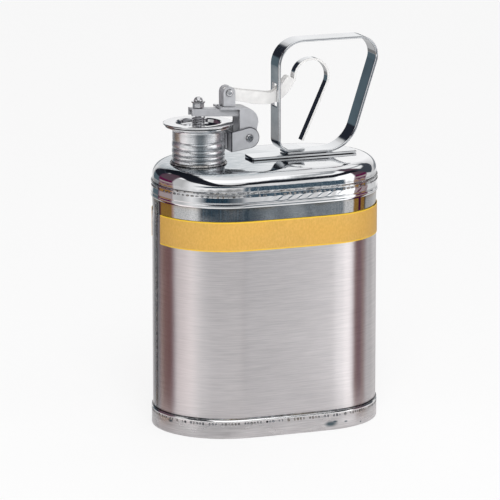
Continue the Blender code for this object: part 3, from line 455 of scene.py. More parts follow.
def close_tree(tree, shape, given, last):
    """Ends a tree: its shape made real, given its material and handed on."""
    solid = node(tree, "GeometryNodeRealizeInstances", {"Geometry": shape.outputs[0]})
    coated = node(tree, "GeometryNodeSetMaterial", {
        "Geometry": solid.outputs[0], "Material": given["Material"],
    })
    tree.links.new(coated.outputs[0], last.inputs["Geometry"])
    return tree


def line_mesh(points, endless=False):
    """Chain of edges through the points, for a tree to follow."""
    mesh = bpy.data.meshes.new("line")
    count = len(points)
    edges = [(i, (i + 1) % count) for i in range(count if endless else count - 1)]
    mesh.from_pydata([tuple(point) for point in points], edges, [])
    return mesh


def grown(name, mesh, tree, sizes, finish, edge=40):
    """Runs a tree on a mesh and keeps the result as a plain mesh."""
    piece = bpy.data.objects.new(name, mesh)
    bpy.context.scene.collection.objects.link(piece)
    step = piece.modifiers.new("growth", "NODES")
    step.node_group = tree
    for socket in tree.interface.items_tree:
        if socket.item_type == "SOCKET" and socket.in_out == "INPUT":
            if socket.name in sizes:
                step[socket.identifier] = sizes[socket.name]
            elif socket.name == "Material":
                step[socket.identifier] = finish
    piece.update_tag()
    result = piece.evaluated_get(bpy.context.evaluated_depsgraph_get())
    data = bpy.data.meshes.new_from_object(result)
    piece.modifiers.clear()
    piece.data = data
    data.name = name
    data.shade_smooth()
    data.set_sharp_from_angle(angle=math.radians(edge))
    return piece


def weld_tree():
    """A row of flattened nuggets along a line, each turned with the line and a little uneven."""
    sizes = {
        "Pitch": 2 * MM, "Length": 1.5 * MM, "Width": 1.0 * MM, "Height": 0.3 * MM, "Filled": 1.0, "Seed": 1,
    }
    tree, given, last = new_tree("weld_row", sizes)
    path = node(tree, "GeometryNodeMeshToCurve", {"Mesh": given["Geometry"]})
    even = node(tree, "GeometryNodeResampleCurve", {
        "Curve": path.outputs[0], "Length": given["Pitch"],
    }, mode="LENGTH")
    bead = node(tree, "GeometryNodeMeshUVSphere", {"Segments": 10, "Rings": 6, "Radius": 0.5})
    tangent = node(tree, "GeometryNodeInputTangent").outputs[0]
    spot = node(tree, "GeometryNodeInputPosition")
    outward = node(tree, "ShaderNodeVectorMath", {
        0: spot.outputs[0], 1: (0.1, 0.1, 0), 2: vector("CROSS_PRODUCT", tangent, (0, 0, 1)),
    }, operation="MULTIPLY_ADD")
    along = node(tree, "FunctionNodeAlignRotationToVector", {"Vector": tangent}, axis="X")
    facing = node(tree, "FunctionNodeAlignRotationToVector", {
        "Rotation": along.outputs[0], "Vector": outward.outputs[0],
    }, axis="Y", pivot_axis="X")
    size = node(tree, "ShaderNodeCombineXYZ", {
        "X": given["Length"], "Y": given["Height"], "Z": given["Width"],
    })
    uneven = node(tree, "FunctionNodeRandomValue", {
        0: (0.5, 0.65, 0.6), 1: (1.3, 1.3, 1.3), "Seed": given["Seed"],
    }, data_type="FLOAT_VECTOR")
    kept = node(tree, "FunctionNodeRandomValue", {
        "Probability": given["Filled"], "Seed": given["Seed"],
    }, data_type="BOOLEAN")
    row = node(tree, "GeometryNodeInstanceOnPoints", {
        "Points": even.outputs[0], "Selection": kept.outputs[3], "Instance": bead.outputs[0],
        "Rotation": facing.outputs[0], "Scale": vector("MULTIPLY", size.outputs[0], uneven.outputs[0]),
    })
    return close_tree(tree, row, given, last)


def weld_row(name, path, sizes, seed, finish, filled=1.0):
    """Row of nuggets on a path, with their pitch, length, width and height in millimetres."""
    values = dict(zip(("Pitch", "Length", "Width", "Height"), mm(*sizes)), Filled=filled, Seed=seed)
    row = grown(name, path, WELD_ROW, values, finish)
    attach(row, "can")


WELD_ROW = weld_tree()
BRIGHT_WELD = new_finish("bright_weld", heat_weld, (0.70, 0.70, 0.70), (0.16, 0.17, 0.19))
DARK_WELD = new_finish("dark_weld", heat_weld, (0.45, 0.46, 0.48), (0.08, 0.09, 0.10))
# Near-black finish: burnt spots on the skirt's weld row, and painted shade on the base bead.
BURNT_WELD_AND_SHADE = new_finish("burnt_weld_and_shade", heat_weld, (0.36, 0.37, 0.39), (0.012, 0.014, 0.018))
LAP_TOP = LAP_BOTTOM + 11.4 * MM
JOGGLE_TOP = LAP_TOP + LAP_OUTER
for row_name, sunk, height, sizes, seed, finish, filled in (
    ("skirt_weld_row", 0.04 * MM, SKIRT_TOP - 3.1 * MM, (2.7, 2.2, 2.5, 0.33), 3, BURNT_WELD_AND_SHADE, 0.8),
    ("lap_weld_row", 0.24 * MM, LAP_TOP - 1.9 * MM, (4.4, 2.9, 1.7, 0.6), 5, DARK_WELD, 0.85),
    ("top_bead_row", 0.35 * MM, JOGGLE_TOP - 0.2 * MM, (6.0, 5.0, 1.7, 0.7), 9, DARK_WELD, 1.0),
):
    weld_row(row_name, line_mesh(oval_ring(LAP_OUTER - sunk, height), True), sizes, seed, finish, filled)

base_foot = SKIRT_TOP + GAP
base_section = [
    (GAP, base_foot), (LAP_OUTER, base_foot), (LAP_OUTER - 0.16 * MM, base_foot + 0.52 * MM),
    (GAP, base_foot + 1.3 * MM),
]
top_section = [
    (GAP, JOGGLE_TOP + 0.15 * MM), (GAP + 0.65 * MM, JOGGLE_TOP - 0.5 * MM),
    (GAP + 0.52 * MM, JOGGLE_TOP + 0.31 * MM), (GAP, JOGGLE_TOP + 0.96 * MM),
]
# The base bead's near-black finish is a painted shadow line in the gap over the skirt's hem.
for bead_name, node_name, finish, section in (
    ("base_bead", "base_weld_bead", BURNT_WELD_AND_SHADE, base_section),
    ("top_bead", "top_weld_bead", BRIGHT_WELD, top_section),
):
    fit(bead_name, oval_hoop(eased(section, 0.25 * MM)), finish, node_name)


def bar_section(inner, outer, low, high, radius):
    """Upright rectangle with rounded corners, as (offset or radius, height) points."""
    return eased([(inner, low), (inner, high), (outer, high), (outer, low)], radius)


seam_low, seam_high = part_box("side_weld_seam")
SEAM_HALF = math.asin(1.5 * MM / END_RADIUS)
SEAM_ENDS = 0.8 * MM
seam_section = bar_section(GAP, GAP + 0.25 * MM, seam_low.z, seam_high.z, 0.1 * MM)
seam_hoop = oval_hoop(seam_section, math.pi - SEAM_HALF, math.pi + SEAM_HALF)
fit("side_seam", seam_hoop, BRIGHT_WELD, "side_weld_seam")
seam_x = -HALF_WIDTH - GAP - 0.2 * MM
seam_path = line_mesh([(seam_x, 0, seam_low.z + SEAM_ENDS), (seam_x, 0, seam_high.z - SEAM_ENDS)])
weld_row("side_seam_row", seam_path, (1.1, 1.8, 2.2, 0.4), 11, BRIGHT_WELD)


# Stripe: a band of yellow safety tape round the body, stopped short of the seam on both
# sides. Its face is a little uneven, and a painted highlight makes its upper and lower edges a brighter
# yellow.
band_low, band_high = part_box("yellow_band")
NEAR_STOP = 8.6 * MM
FAR_STOP = 24 * MM
BAND_FACE = 0.55 * MM


def yellow_tape(place):
    height = height_of(place)
    speck = grain(place, (700, 700, 420), 2)
    cloud = grain(place, (28, 28, 50))
    colour = ramp(speck, [(0.3, (0.64, 0.365, 0.068)), (0.7, (0.75, 0.445, 0.105))])
    warm = mixed(between(cloud, 0.3, 0.7, 0.0, 0.3), colour, (0.79, 0.43, 0.075))
    low_edge = between(height, band_low.z + 0.4 * MM, band_low.z + 1.3 * MM, 1.0, 0.0)
    high_edge = between(height, band_high.z - 1.3 * MM, band_high.z - 0.4 * MM)
    # Painted highlight: the tape's upper and lower edges are mixed to a brighter yellow.
    edges = times(calc("MAXIMUM", low_edge, high_edge), 0.9)
    waves = bumped(grain(place, (34, 34, 60), 2), 0.25 * MM, 0.5)
    colour = mixed(edges, warm, (1.0, 0.66, 0.03))
    rough = between(cloud, 0.3, 0.7, 0.42, 0.56)
    return colour, rough, bumped(speck, 0.02 * MM, 0.4, waves)


band_section = bar_section(GAP, BAND_FACE, band_low.z, band_high.z, 0.1 * MM)
band_start = math.asin(NEAR_STOP / END_RADIUS) - math.pi
band_end = math.pi - math.asin(FAR_STOP / END_RADIUS)
band = oval_hoop(band_section, band_start, band_end)
TAPE = new_finish("yellow_tape", yellow_tape, metallic=0.0)
fit("safety_stripe", band, TAPE, "yellow_band")


# Head: drawn from one polished sheet, with a lap flange over the body, a joggle, a round
# shoulder and a flat deck with the neck's hole. Drawing and welding left it a little wavy.
DECK_Z = head_high.z
SHOULDER_RADIUS = 11.3 * MM
SHOULDER_STEPS = 14
HEAD_HOLE = 21.2 * MM
DECK_REFLECTION_NEAR = 26 * MM
DECK_REFLECTION_FAR = 104 * MM
DECK_RINGS = 32
UNDER_RINGS = 8
neck_low, neck_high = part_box("neck")
NECK_X = (neck_low.x + neck_high.x) / 2
DECK_DENTS = (
    (mm(12.5, -42, 220.6), mm(3.5, 9, 1), mm(0, 0, -0.3)),
    (mm(63, -31, 220.6), mm(5, 9, 1), mm(0, 0, -0.3)),
    (mm(40, 28, 220.6), mm(9, 6, 1), mm(0, 0, -0.2)),
)


def openness(place, distance):
    """1 in the open, less in hollows that are narrower than a distance."""
    values = {"Distance": distance}
    return node(place.id_data, "ShaderNodeAmbientOcclusion", values, samples=8).outputs["AO"]


def polished(place, waviness, bright=(0.80, 0.805, 0.82), rough=(0.04, 0.11), smoked=False, grimy=False):
    """Wavy mirror steel, perhaps with a painted dark reflection round the neck, perhaps with painted shade
    in its hollows.
    """
    cloud = grain(place, (26, 26, 40), 3, 0.4)
    rubs = grain(place, (90, 900, 240), 3, 0.5)
    dull = tuple(value * 0.86 for value in bright)
    colour = ramp(cloud, [(0.3, bright), (0.75, dull)])
    # Painted dark reflection: the deck round the neck is tinted dark teal where the neck and brackets are
    # mirrored in it.
    if smoked:
        level = vector("MULTIPLY", vector("SUBTRACT", place, (NECK_X, 0, 0)), (1, 1, 0))
        near = between(length_of(level), DECK_REFLECTION_NEAR, DECK_REFLECTION_FAR, 1.0, 0.0)
        flat_top = between(height_of(place), DECK_Z - 3.5 * MM, DECK_Z - 1.0 * MM)
        smoke = times(times(near, flat_top), between(rubs, 0.35, 0.6, 0.35, 0.9))
        colour = mixed(smoke, colour, (0.20, 0.26, 0.30))
    # Painted shade: hollows that ambient occlusion finds are darkened.
    if grimy:
        hollow_shade = between(openness(place, 4 * MM), 0.45, 0.85, 0.9, 0.0)
        colour = mixed(hollow_shade, colour, (0.03, 0.04, 0.05))
    haze = between(cloud, 0.35, 0.75, *rough)
    broad = bumped(grain(place, (24, 24, 40), 1), waviness, 0.8)
    small = bumped(grain(place, (85, 85, 110), 2), waviness * 0.12, 0.6, broad)
    haze = calc("ADD", haze, between(rubs, 0.5, 0.8, 0.0, 0.05))
    return colour, haze, bumped(rubs, 0.006 * MM, 0.3, small)


# The head's deck carries a painted dark reflection round the neck.
HEAD_STEEL = new_finish("polished_head", polished, 0.5 * MM, smoked=True)


def arc(centre, radius, start, end, steps):
    """Points of an arc, from one angle to another."""
    angles = [start + (end - start) * i / steps for i in range(steps + 1)]
    return [(centre[0] + radius * math.cos(a), centre[1] + radius * math.sin(a)) for a in angles]


def girth(angle):
    """Way round the oval from its right end to the place where its normal has this angle."""
    way, start = 0.0, 0.0
    for stop, radius in (
        (JOIN, END_RADIUS), (math.pi - JOIN, SIDE_RADIUS), (math.pi + JOIN, END_RADIUS),
        (math.tau - JOIN, SIDE_RADIUS), (math.tau, END_RADIUS),
    ):
        way += radius * max(0.0, min(angle, stop) - start)
        start = stop
    return way


FACE_TOP = LAP_TOP - 2.4 * MM
FACE_LOW = LAP_BOTTOM + 3.9 * MM
FACE_IN = 0.38 * MM
FACE_OUT = 0.9 * MM
FACE_RINGS = 6
DIMPLE_PITCH = 8.6 * MM
DIMPLE_DEPTH = 0.12 * MM
DIMPLE_SLANT = 0.7
DIMPLES_LEFT = -26 * MM
DIMPLES_RIGHT = 82 * MM
RIPPLE_HEIGHT = 3 * MM


def lap_wave(angle, offset, height):
    """Slanted dimples that the welding wheel left in the flange, and ripples in the wall over it."""
    way = girth(angle)
    if offset > 0 and FACE_LOW < height < FACE_TOP:
        share = (height - FACE_LOW) / (FACE_TOP - FACE_LOW)
        across = oval_point(angle, 0)[0]
        left_fade = (across - DIMPLES_LEFT) / (14 * MM)
        fade = max(0.0, min(1.0, left_fade, (DIMPLES_RIGHT - across) / (12 * MM)))
        dimple = math.sin(math.tau * (way / DIMPLE_PITCH - share * DIMPLE_SLANT))
        return DIMPLE_DEPTH * fade * math.sin(math.pi * share) * dimple
    if offset == 0 and JOGGLE_TOP < height < JOGGLE_TOP + RIPPLE_HEIGHT:
        return -0.04 * MM * (1 + math.sin(way / (1.2 * MM))) - 0.02 * MM * math.sin(way / (0.61 * MM))
    return 0.0


def deck_rings(ring, height, shares):
    """Rings from the deck's edge to its hole, along straight lines to the neck's axis."""
    made = []
    for share in shares:
        points = []
        for x, y, _ in ring:
            away = Vector((x - NECK_X, y))
            reach = away.length + (HEAD_HOLE - away.length) * share
            away = away.normalized() * reach
            points.append((NECK_X + away.x, away.y, height))
        made.append(dented(points, DECK_DENTS))
    return made


def head_shape():
    """Flange and shoulder swept round the oval, the deck drawn in to the round hole of the neck."""
    centre = (-SHOULDER_RADIUS, DECK_Z - SHOULDER_RADIUS)
    outside = arc(centre, SHOULDER_RADIUS, math.pi / 2, 0, SHOULDER_STEPS)
    outside += [
        (0, JOGGLE_TOP + 1.6 * MM), (0, JOGGLE_TOP + 0.4 * MM), (0.12 * MM, JOGGLE_TOP - 0.1 * MM),
        (LAP_OUTER - 0.35 * MM, LAP_TOP + 0.3 * MM), (LAP_OUTER - 0.3 * MM, LAP_TOP - 0.4 * MM),
    ]
    for i in range(FACE_RINGS + 1):
        share = i / FACE_RINGS
        outside.append((FACE_IN + (FACE_OUT - FACE_IN) * share, FACE_TOP + (FACE_LOW - FACE_TOP) * share))
    hem = [
        (0.76 * MM, LAP_BOTTOM + 3.5 * MM), (0.88 * MM, LAP_BOTTOM + 3.0 * MM),
        (HEM_OUTER - 0.04 * MM, LAP_BOTTOM + 2.3 * MM), (HEM_OUTER, LAP_BOTTOM + 1.4 * MM),
        (HEM_OUTER - 0.06 * MM, LAP_BOTTOM + 0.6 * MM), (LAP_OUTER - 0.1 * MM, LAP_BOTTOM),
    ]
    inner = LAP_TOP - SHEET / 2
    inside = [(GAP, LAP_BOTTOM), (GAP, inner), (-SHEET, inner + GAP + SHEET)]
    inside += arc(centre, SHOULDER_RADIUS - SHEET, 0, math.pi / 2, SHOULDER_STEPS)
    angles = oval_angles(0, math.tau, 110, 84)[:-1]
    rings = []
    for offset, height in outside + hem + inside:
        waves = [offset + lap_wave(angle, offset, height) for angle in angles]
        rings.append([(*oval_point(angle, wave), height) for angle, wave in zip(angles, waves)])
    over = deck_rings(rings[0], DECK_Z, [(i / DECK_RINGS) ** 0.8 for i in range(1, DECK_RINGS + 1)])
    under = deck_rings(rings[-1], DECK_Z - SHEET, [i / UNDER_RINGS for i in range(1, UNDER_RINGS + 1)])
    return lofted(over[::-1] + rings + under, True)


fit("head_sheet", head_shape(), HEAD_STEEL, "top_head")


# Neck: a ribbed pouring neck of turned steel with a wide flared lip. It is welded into
# the head's hole by a fillet, and its ribs were left from the tube's rolling.
LIP_Z = neck_high.z
LIP_RADIUS = (neck_high.x - neck_low.x) / 2
NECK_RADIUS = 21.4 * MM
NECK_CREST = 21.9 * MM
NECK_ROOT = 20.9 * MM
BORE_RADIUS = 19.8 * MM
RIB_TOPS = mm(0.3, 4.5, 8.2, 13.0, 19.1)
RIB_STEPS = 8
STRAIGHT_TOP = DECK_Z + 26.9 * MM
FLARE_REACH = LIP_RADIUS - NECK_RADIUS
FLARE_RISE = 3.8 * MM
FLARE_STEPS = 14
LIP_SHEET = 1.1 * MM

# Dark reflections down the neck: where each starts and ends in radians from the can's
# front towards its right, and how strong it is.
NECK_SHADES = ((-1.62, -1.2, 0.5), (-0.52, -0.02, 0.85), (0.55, 0.9, 0.45))


def turned(profile, steps=96):
    """Turns a closed profile of (radius, height) points about the neck's axis."""
    rings = []
    for i in range(steps):
        across, along = math.cos(math.tau * i / steps), math.sin(math.tau * i / steps)
        rings.append([(NECK_X + radius * across, radius * along, height) for radius, height in profile])
    return lofted(rings, True)


def turned_neck(place):
    """Fine rings from the lathe, painted dark reflections, painted shade in the grooves, and a bright lip.
    """
    rings = grain(place, (12, 12, 3200))
    cloud = grain(place, (50, 50, 60))
    colour = ramp(rings, [(0.3, (0.70, 0.71, 0.73)), (0.7, (0.88, 0.885, 0.90))])
    level = vector("SUBTRACT", place, (NECK_X, 0, 0))
    spot = node(place.id_data, "ShaderNodeSeparateXYZ", {"Vector": level}).outputs
    heading = calc("ARCTAN2", spot["X"], times(spot["Y"], -1.0))
    for start, end, strength in NECK_SHADES:
        rising = between(heading, start - 0.1, start + 0.2)
        falling = between(heading, end - 0.2, end + 0.1, strength, 0.0)
        colour = mixed(times(rising, falling), colour, (0.11, 0.14, 0.16))
    # Painted shade: the grooves, found by ambient occlusion, are darkened.
    hollow_shade = between(openness(place, 1.5 * MM), 0.5, 0.95, 0.5, 0.0)
    colour = mixed(hollow_shade, colour, (0.03, 0.04, 0.05))
    lip = between(height_of(place), STRAIGHT_TOP - 0.5 * MM, STRAIGHT_TOP + 1.5 * MM)
    rough = blended(lip, between(cloud, 0.3, 0.7, 0.20, 0.30), 0.10)
    waves = bumped(cloud, 0.03 * MM, 0.4)
    return mixed(lip, colour, (0.78, 0.785, 0.80)), rough, bumped(rings, 0.004 * MM, 0.4, waves)


def neck_section():
    """Ribs, straight and flare up the outside, then the flare and the bore down the inside."""
    points = [(NECK_ROOT, neck_low.z), (NECK_ROOT, DECK_Z + RIB_TOPS[0])]
    for low, high in zip(RIB_TOPS, RIB_TOPS[1:]):
        for i in range(1, RIB_STEPS + 1):
            part = i / RIB_STEPS
            swell = math.sin(math.pi * part) ** 0.6 if part < 1 else 0.0
            points.append((NECK_ROOT + (NECK_CREST - NECK_ROOT) * swell, DECK_Z + low + (high - low) * part))
    points.append((NECK_RADIUS - 0.1 * MM, DECK_Z + RIB_TOPS[-1] + 0.5 * MM))
    points.append((NECK_RADIUS, DECK_Z + RIB_TOPS[-1] + 1.0 * MM))
    flare = [math.pi / 2 * i / FLARE_STEPS for i in range(FLARE_STEPS + 1)]
    for turn in flare:
        reach = FLARE_REACH * (1 - math.cos(turn))
        points.append((NECK_RADIUS + reach, STRAIGHT_TOP + FLARE_RISE * math.sin(turn)))
    points.append((LIP_RADIUS, LIP_Z - LIP_SHEET * 0.3))
    for turn in reversed(flare[:-1]):
        reach = FLARE_REACH * (1 - math.cos(turn)) - (NECK_RADIUS - BORE_RADIUS) * math.cos(turn)
        points.append((NECK_RADIUS + reach, STRAIGHT_TOP + (FLARE_RISE + LIP_SHEET) * math.sin(turn)))
    points.append((BORE_RADIUS, neck_low.z))
    return points


NECK_STEEL = new_finish("turned_neck", turned_neck, metallic=0.75)
fit("ribbed_neck", turned(neck_section(), 128), NECK_STEEL, "neck", edge=60)

FILLET_FOOT = 22.2 * MM
RIPPLE_RADIUS = FILLET_FOOT + 0.75 * MM
RIPPLE_POINTS = 90
fillet_low = DECK_Z + GAP
fillet_section = eased([
    (FILLET_FOOT, fillet_low), (FILLET_FOOT + 1.6 * MM, fillet_low),
    (FILLET_FOOT + 0.72 * MM, fillet_low + 0.72 * MM), (FILLET_FOOT, fillet_low + 1.6 * MM),
], 0.3 * MM)
fit("neck_fillet", turned(fillet_section), BRIGHT_WELD, "neck_weld_ring")
ripple_ring = arc((NECK_X, 0), RIPPLE_RADIUS, 0, math.tau, RIPPLE_POINTS)[:-1]
ripple_path = line_mesh([(x, y, fillet_low + 0.55 * MM) for x, y in ripple_ring], True)
weld_row("neck_weld_ripples", ripple_path, (1.25, 1.7, 1.3, 0.5), 21, BRIGHT_WELD)


# Flame arrester: a sleeve of woven steel wire in the neck's bore, held by a turned rim
# at its top and closed by a pressed cup at its bottom, deep inside the can.
rim_low, rim_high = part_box("arrester_rim")
screen_low, screen_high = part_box("arrester_screen")
SCREEN_RADIUS = (screen_high.x - screen_low.x) / 2 - 0.25 * MM
MESH_WIRES = 72
MESH_RINGS = 36
WEAVE = 0.12 * MM


def drawn_wire(place, colour):
    scratches = grain(place, (900, 900, 900), 2)
    darker = tuple(value * 0.6 for value in colour)
    shade = ramp(scratches, [(0.3, darker), (0.7, colour)])
    rough = between(scratches, 0.3, 0.7, 0.38, 0.24)
    return shade, rough, bumped(scratches, 0.02 * MM, 0.4)


def wire_tree():
    """A round wire along every line of a mesh."""
    tree, given, last = new_tree("wire", {"Diameter": 1.0 * MM, "Sides": 8})
    path = node(tree, "GeometryNodeMeshToCurve", {"Mesh": given["Geometry"]})
    circle = node(tree, "GeometryNodeCurvePrimitiveCircle", {
        "Resolution": given["Sides"], "Radius": times(given["Diameter"], 0.5),
    })
    tube = node(tree, "GeometryNodeCurveToMesh", {
        "Curve": path.outputs[0], "Profile Curve": circle.outputs[0], "Fill Caps": True,
    })
    return close_tree(tree, tube, given, last)


def woven_lines():
    """Upright wires and level rings of the screen, each passing in and out of the other."""
    points, edges = [], []

    def spot(i, j, side):
        angle = math.tau * i / MESH_WIRES
        radius = SCREEN_RADIUS + side * WEAVE * (1 if (i + j) % 2 else -1)
        height = screen_low.z + (screen_high.z - screen_low.z) * (j + 0.5) / MESH_RINGS
        return NECK_X + radius * math.cos(angle), radius * math.sin(angle), height

    for j in range(MESH_RINGS):
        first = len(points)
        points += [spot(i, j, 1) for i in range(MESH_WIRES)]
        edges += [(first + i, first + (i + 1) % MESH_WIRES) for i in range(MESH_WIRES)]
    for i in range(MESH_WIRES):
        first = len(points)
        points += [spot(i, j, -1) for j in range(MESH_RINGS)]
        edges += [(first + j, first + j + 1) for j in range(MESH_RINGS - 1)]
    mesh = bpy.data.meshes.new("woven_lines")
    mesh.from_pydata(points, edges, [])
    return mesh


WIRE = wire_tree()
MESH_STEEL = new_finish("mesh_wire", drawn_wire, (0.5, 0.49, 0.47))
screen = grown("arrester_mesh", woven_lines(), WIRE, {"Diameter": 0.3 * MM, "Sides": 4}, MESH_STEEL)
dress(screen, "can", "arrester_screen")
rim_section = bar_section(SCREEN_RADIUS + 0.55 * MM, BORE_RADIUS - GAP, rim_low.z, rim_high.z, 0.3 * MM)
fit("arrester_collar", turned(rim_section), HEAD_STEEL, "arrester_rim")
frame["nodes"]["arrester_cap"].data.materials.clear()
frame["nodes"]["arrester_cap"].data.materials.append(HEAD_STEEL)


# Hinge bracket: a U of satin steel beside the neck, its web welded to the neck through a
# short saddle. A rivet with an eyelet end crosses its ears and carries the cap lever.
def satin(place, base=(0.58, 0.585, 0.61), rough=0.36):
    cloud = grain(place, (160, 160, 160), 4)
    scratches = grain(place, (300, 80, 1100), 3, 1.0)
    darker = tuple(value * 0.86 for value in base)
    clean = ramp(cloud, [(0.3, darker), (0.7, base)])
    # Painted shade: hollows that ambient occlusion finds are darkened.
    hollow_shade = between(openness(place, 1.6 * MM), 0.35, 0.8, 0.75, 0.0)
    haze = between(cloud, 0.3, 0.7, rough, rough + 0.1)
    relief = bumped(cloud, 0.05 * MM, 0.4)
    haze = calc("ADD", haze, between(scratches, 0.5, 0.8, 0.0, 0.06))
    return mixed(hollow_shade, clean, (0.10, 0.10, 0.11)), haze, bumped(scratches, 0.012 * MM, 0.4, relief)


SATIN = new_finish("satin_steel", satin, metallic=0.3)
RIVET_STEEL = new_finish("rivet_steel", satin, (0.66, 0.66, 0.68), 0.14, metallic=0.8)
# Painted shade: near-black finish that softened() puts on rounded edges, as a dark outline of shade along
# them.
EDGE_SHADE_STEEL = new_finish("painted_edge_shade", satin, (0.10, 0.105, 0.12), 0.3)


def rounded(piece, width, segments, least_angle):
    """Rounds the edges of a piece that are sharper than an angle in degrees."""
    bevel = piece.modifiers.new("rounded_edges", "BEVEL")
    bevel.width = width
    bevel.segments = segments
    bevel.limit_method = "ANGLE"
    bevel.angle_limit = math.radians(least_angle)
    even = piece.modifiers.new("even_shading", "WEIGHTED_NORMAL")
    even.keep_sharp = True
    return bevel


def softened(name, source, finish, width, body):
    """A CAD solid copied and merged, with its edges rounded and given a near-black finish as painted shade.
    """
    shape = bmesh.new()
    shape.from_mesh(frame["nodes"][source].data)
    bmesh.ops.remove_doubles(shape, verts=shape.verts, dist=0.002 * MM)
    bmesh.ops.dissolve_limit(shape, angle_limit=math.radians(1), verts=shape.verts, edges=shape.edges)
    piece = add_piece(name, shape, finish, 50)
    piece.data.materials.append(EDGE_SHADE_STEEL)
    rounded(piece, width, 3, 38).material = 1
    dress(piece, body, source)
    return piece


softened("hinge_ears", "hinge_bracket", SATIN, 0.7 * MM, "can")
softened("neck_saddle", "bracket_saddle", SATIN, 0.4 * MM, "can")
softened("hinge_rivet", "hinge_pin", RIVET_STEEL, 0.25 * MM, "can")
softened("spring_sleeve", "hinge_sleeve", SATIN, 0.2 * MM, "can")


# Closing spring: four turns of drawn wire round the hinge rivet's sleeve. One leg presses on
# the bracket's web. The other stands up against the end of the cap arm and turns with it, so
# it is a piece of its own, with an arc at its foot that lies along the first turn.
SPRING_WIRE = 1.5 * MM
SPRING_PITCH = 1.95 * MM
SPRING_TURNS = 4
SPRING_STEEL = new_finish("spring_wire", drawn_wire, (0.52, 0.52, 0.55))
BRACKET_WEB = 1.6 * MM
COIL_POINTS = 32
hinge = next(joint for joint in frame["joints"] if joint["name"] == "cap_hinge")["pos_m"]
leg_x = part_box("cap_arm")[1].x + GAP + SPRING_WIRE / 2
coil_radius = hinge[0] - leg_x
leg_angle = math.radians(135)
coil_turn = math.tau * SPRING_TURNS - (math.pi - leg_angle)
coil_width = SPRING_PITCH * coil_turn / math.tau
coil_count = round(coil_turn / math.tau * COIL_POINTS)


def spring_turn(part):
    """Point of the wire so far round the coil, from the foot of its upright leg."""
    return (
        hinge[0] + coil_radius * math.cos(math.pi + part),
        -coil_width / 2 + SPRING_PITCH * part / math.tau,
        hinge[2] + coil_radius * math.sin(math.pi + part),
    )


def steel_wire(name, points, diameter, sides=12):
    """Spring wire along a chain of points."""
    return grown(name, line_mesh(points), WIRE, {"Diameter": diameter, "Sides": sides}, SPRING_STEEL, 70)


coil = [spring_turn(coil_turn * i / coil_count) for i in range(coil_count + 1)]
leg_heading = Vector((-math.sin(leg_angle), 0, math.cos(leg_angle)))
leg_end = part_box("hinge_bracket")[0].x + BRACKET_WEB + GAP + SPRING_WIRE / 2
coil.append(tuple(Vector(coil[-1]) + leg_heading * ((leg_end - coil[-1][0]) / leg_heading.x)))
spring = steel_wire("return_spring", coil, SPRING_WIRE)
dress(spring, "can", "closing_spring")
upright = [(leg_x, -coil_width / 2, hinge[2] + rise) for rise in (22 * MM, 11 * MM)]
upright += [spring_turn(math.radians(5 * i)) for i in range(9)]
leg = steel_wire("spring_leg", upright, SPRING_WIRE - 0.04 * MM)
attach(leg, "cap_lever")


# Handle: one flat polished band bent to a closed loop, its front foot laid on its rear
# foot, both spot-welded to a strap on the deck. The trigger passes a slot in its front.
loop_low, loop_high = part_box("handle_loop")
pin_low, pin_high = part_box("lever_pin")
HANDLE_BAND = 2.2 * MM
HANDLE_HALF = loop_high.y
LOW_FRONT_RADIUS = 8.9 * MM
TOP_FRONT_RADIUS = 20.9 * MM
TOP_REAR_RADIUS = 15.9 * MM
LOW_REAR_RADIUS = 28.1 * MM
BEND_STEPS = 28
LEG_LEAN = math.radians(17.7)
SLOT_HALF = 4.6 * MM
SLOT_LOW = (pin_low.z + pin_high.z) / 2 - 14.5 * MM
SLOT_HIGH = (pin_low.z + pin_high.z) / 2 + 4.0 * MM
BAND_STEEL = new_finish("polished_band", polished, 0.25 * MM, (0.76, 0.775, 0.795), (0.05, 0.13))


def loop_line():
    """Middle line of the band, from its front foot round to its rear foot."""
    half = HANDLE_BAND / 2
    quarter = math.pi / 2
    front_x = loop_low.x + half
    top_z = loop_high.z - half
    rear_foot = loop_low.z + half
    front_foot = rear_foot + HANDLE_BAND + GAP
    low_front = (front_x + LOW_FRONT_RADIUS, front_foot + LOW_FRONT_RADIUS)
    top_front = (front_x + TOP_FRONT_RADIUS, top_z - TOP_FRONT_RADIUS)
    top_rear = (loop_high.x - half - TOP_REAR_RADIUS, top_z - TOP_REAR_RADIUS)
    low_rear_z = rear_foot + LOW_REAR_RADIUS
    leg_top_x = top_rear[0] + TOP_REAR_RADIUS * math.cos(LEG_LEAN)
    leg_top_z = top_rear[1] - TOP_REAR_RADIUS * math.sin(LEG_LEAN)
    leg_low_z = low_rear_z - LOW_REAR_RADIUS * math.sin(LEG_LEAN)
    leg_low_x = leg_top_x - (leg_top_z - leg_low_z) * math.tan(LEG_LEAN)
    low_rear = (leg_low_x - LOW_REAR_RADIUS * math.cos(LEG_LEAN), low_rear_z)
    line = [(front_x + 23.5 * MM - half, front_foot), (front_x + 16 * MM, front_foot)]
    line += arc(low_front, LOW_FRONT_RADIUS, -quarter, -math.pi, 16)
    line += [(front_x, SLOT_LOW), (front_x, SLOT_HIGH)]
    line += arc(top_front, TOP_FRONT_RADIUS, math.pi, quarter, BEND_STEPS)
    line += arc(top_rear, TOP_REAR_RADIUS, quarter, -LEG_LEAN, BEND_STEPS)
    line += arc(low_rear, LOW_REAR_RADIUS, -LEG_LEAN, -quarter, BEND_STEPS)
    line.append((loop_low.x + 8.3 * MM, rear_foot))
    return line


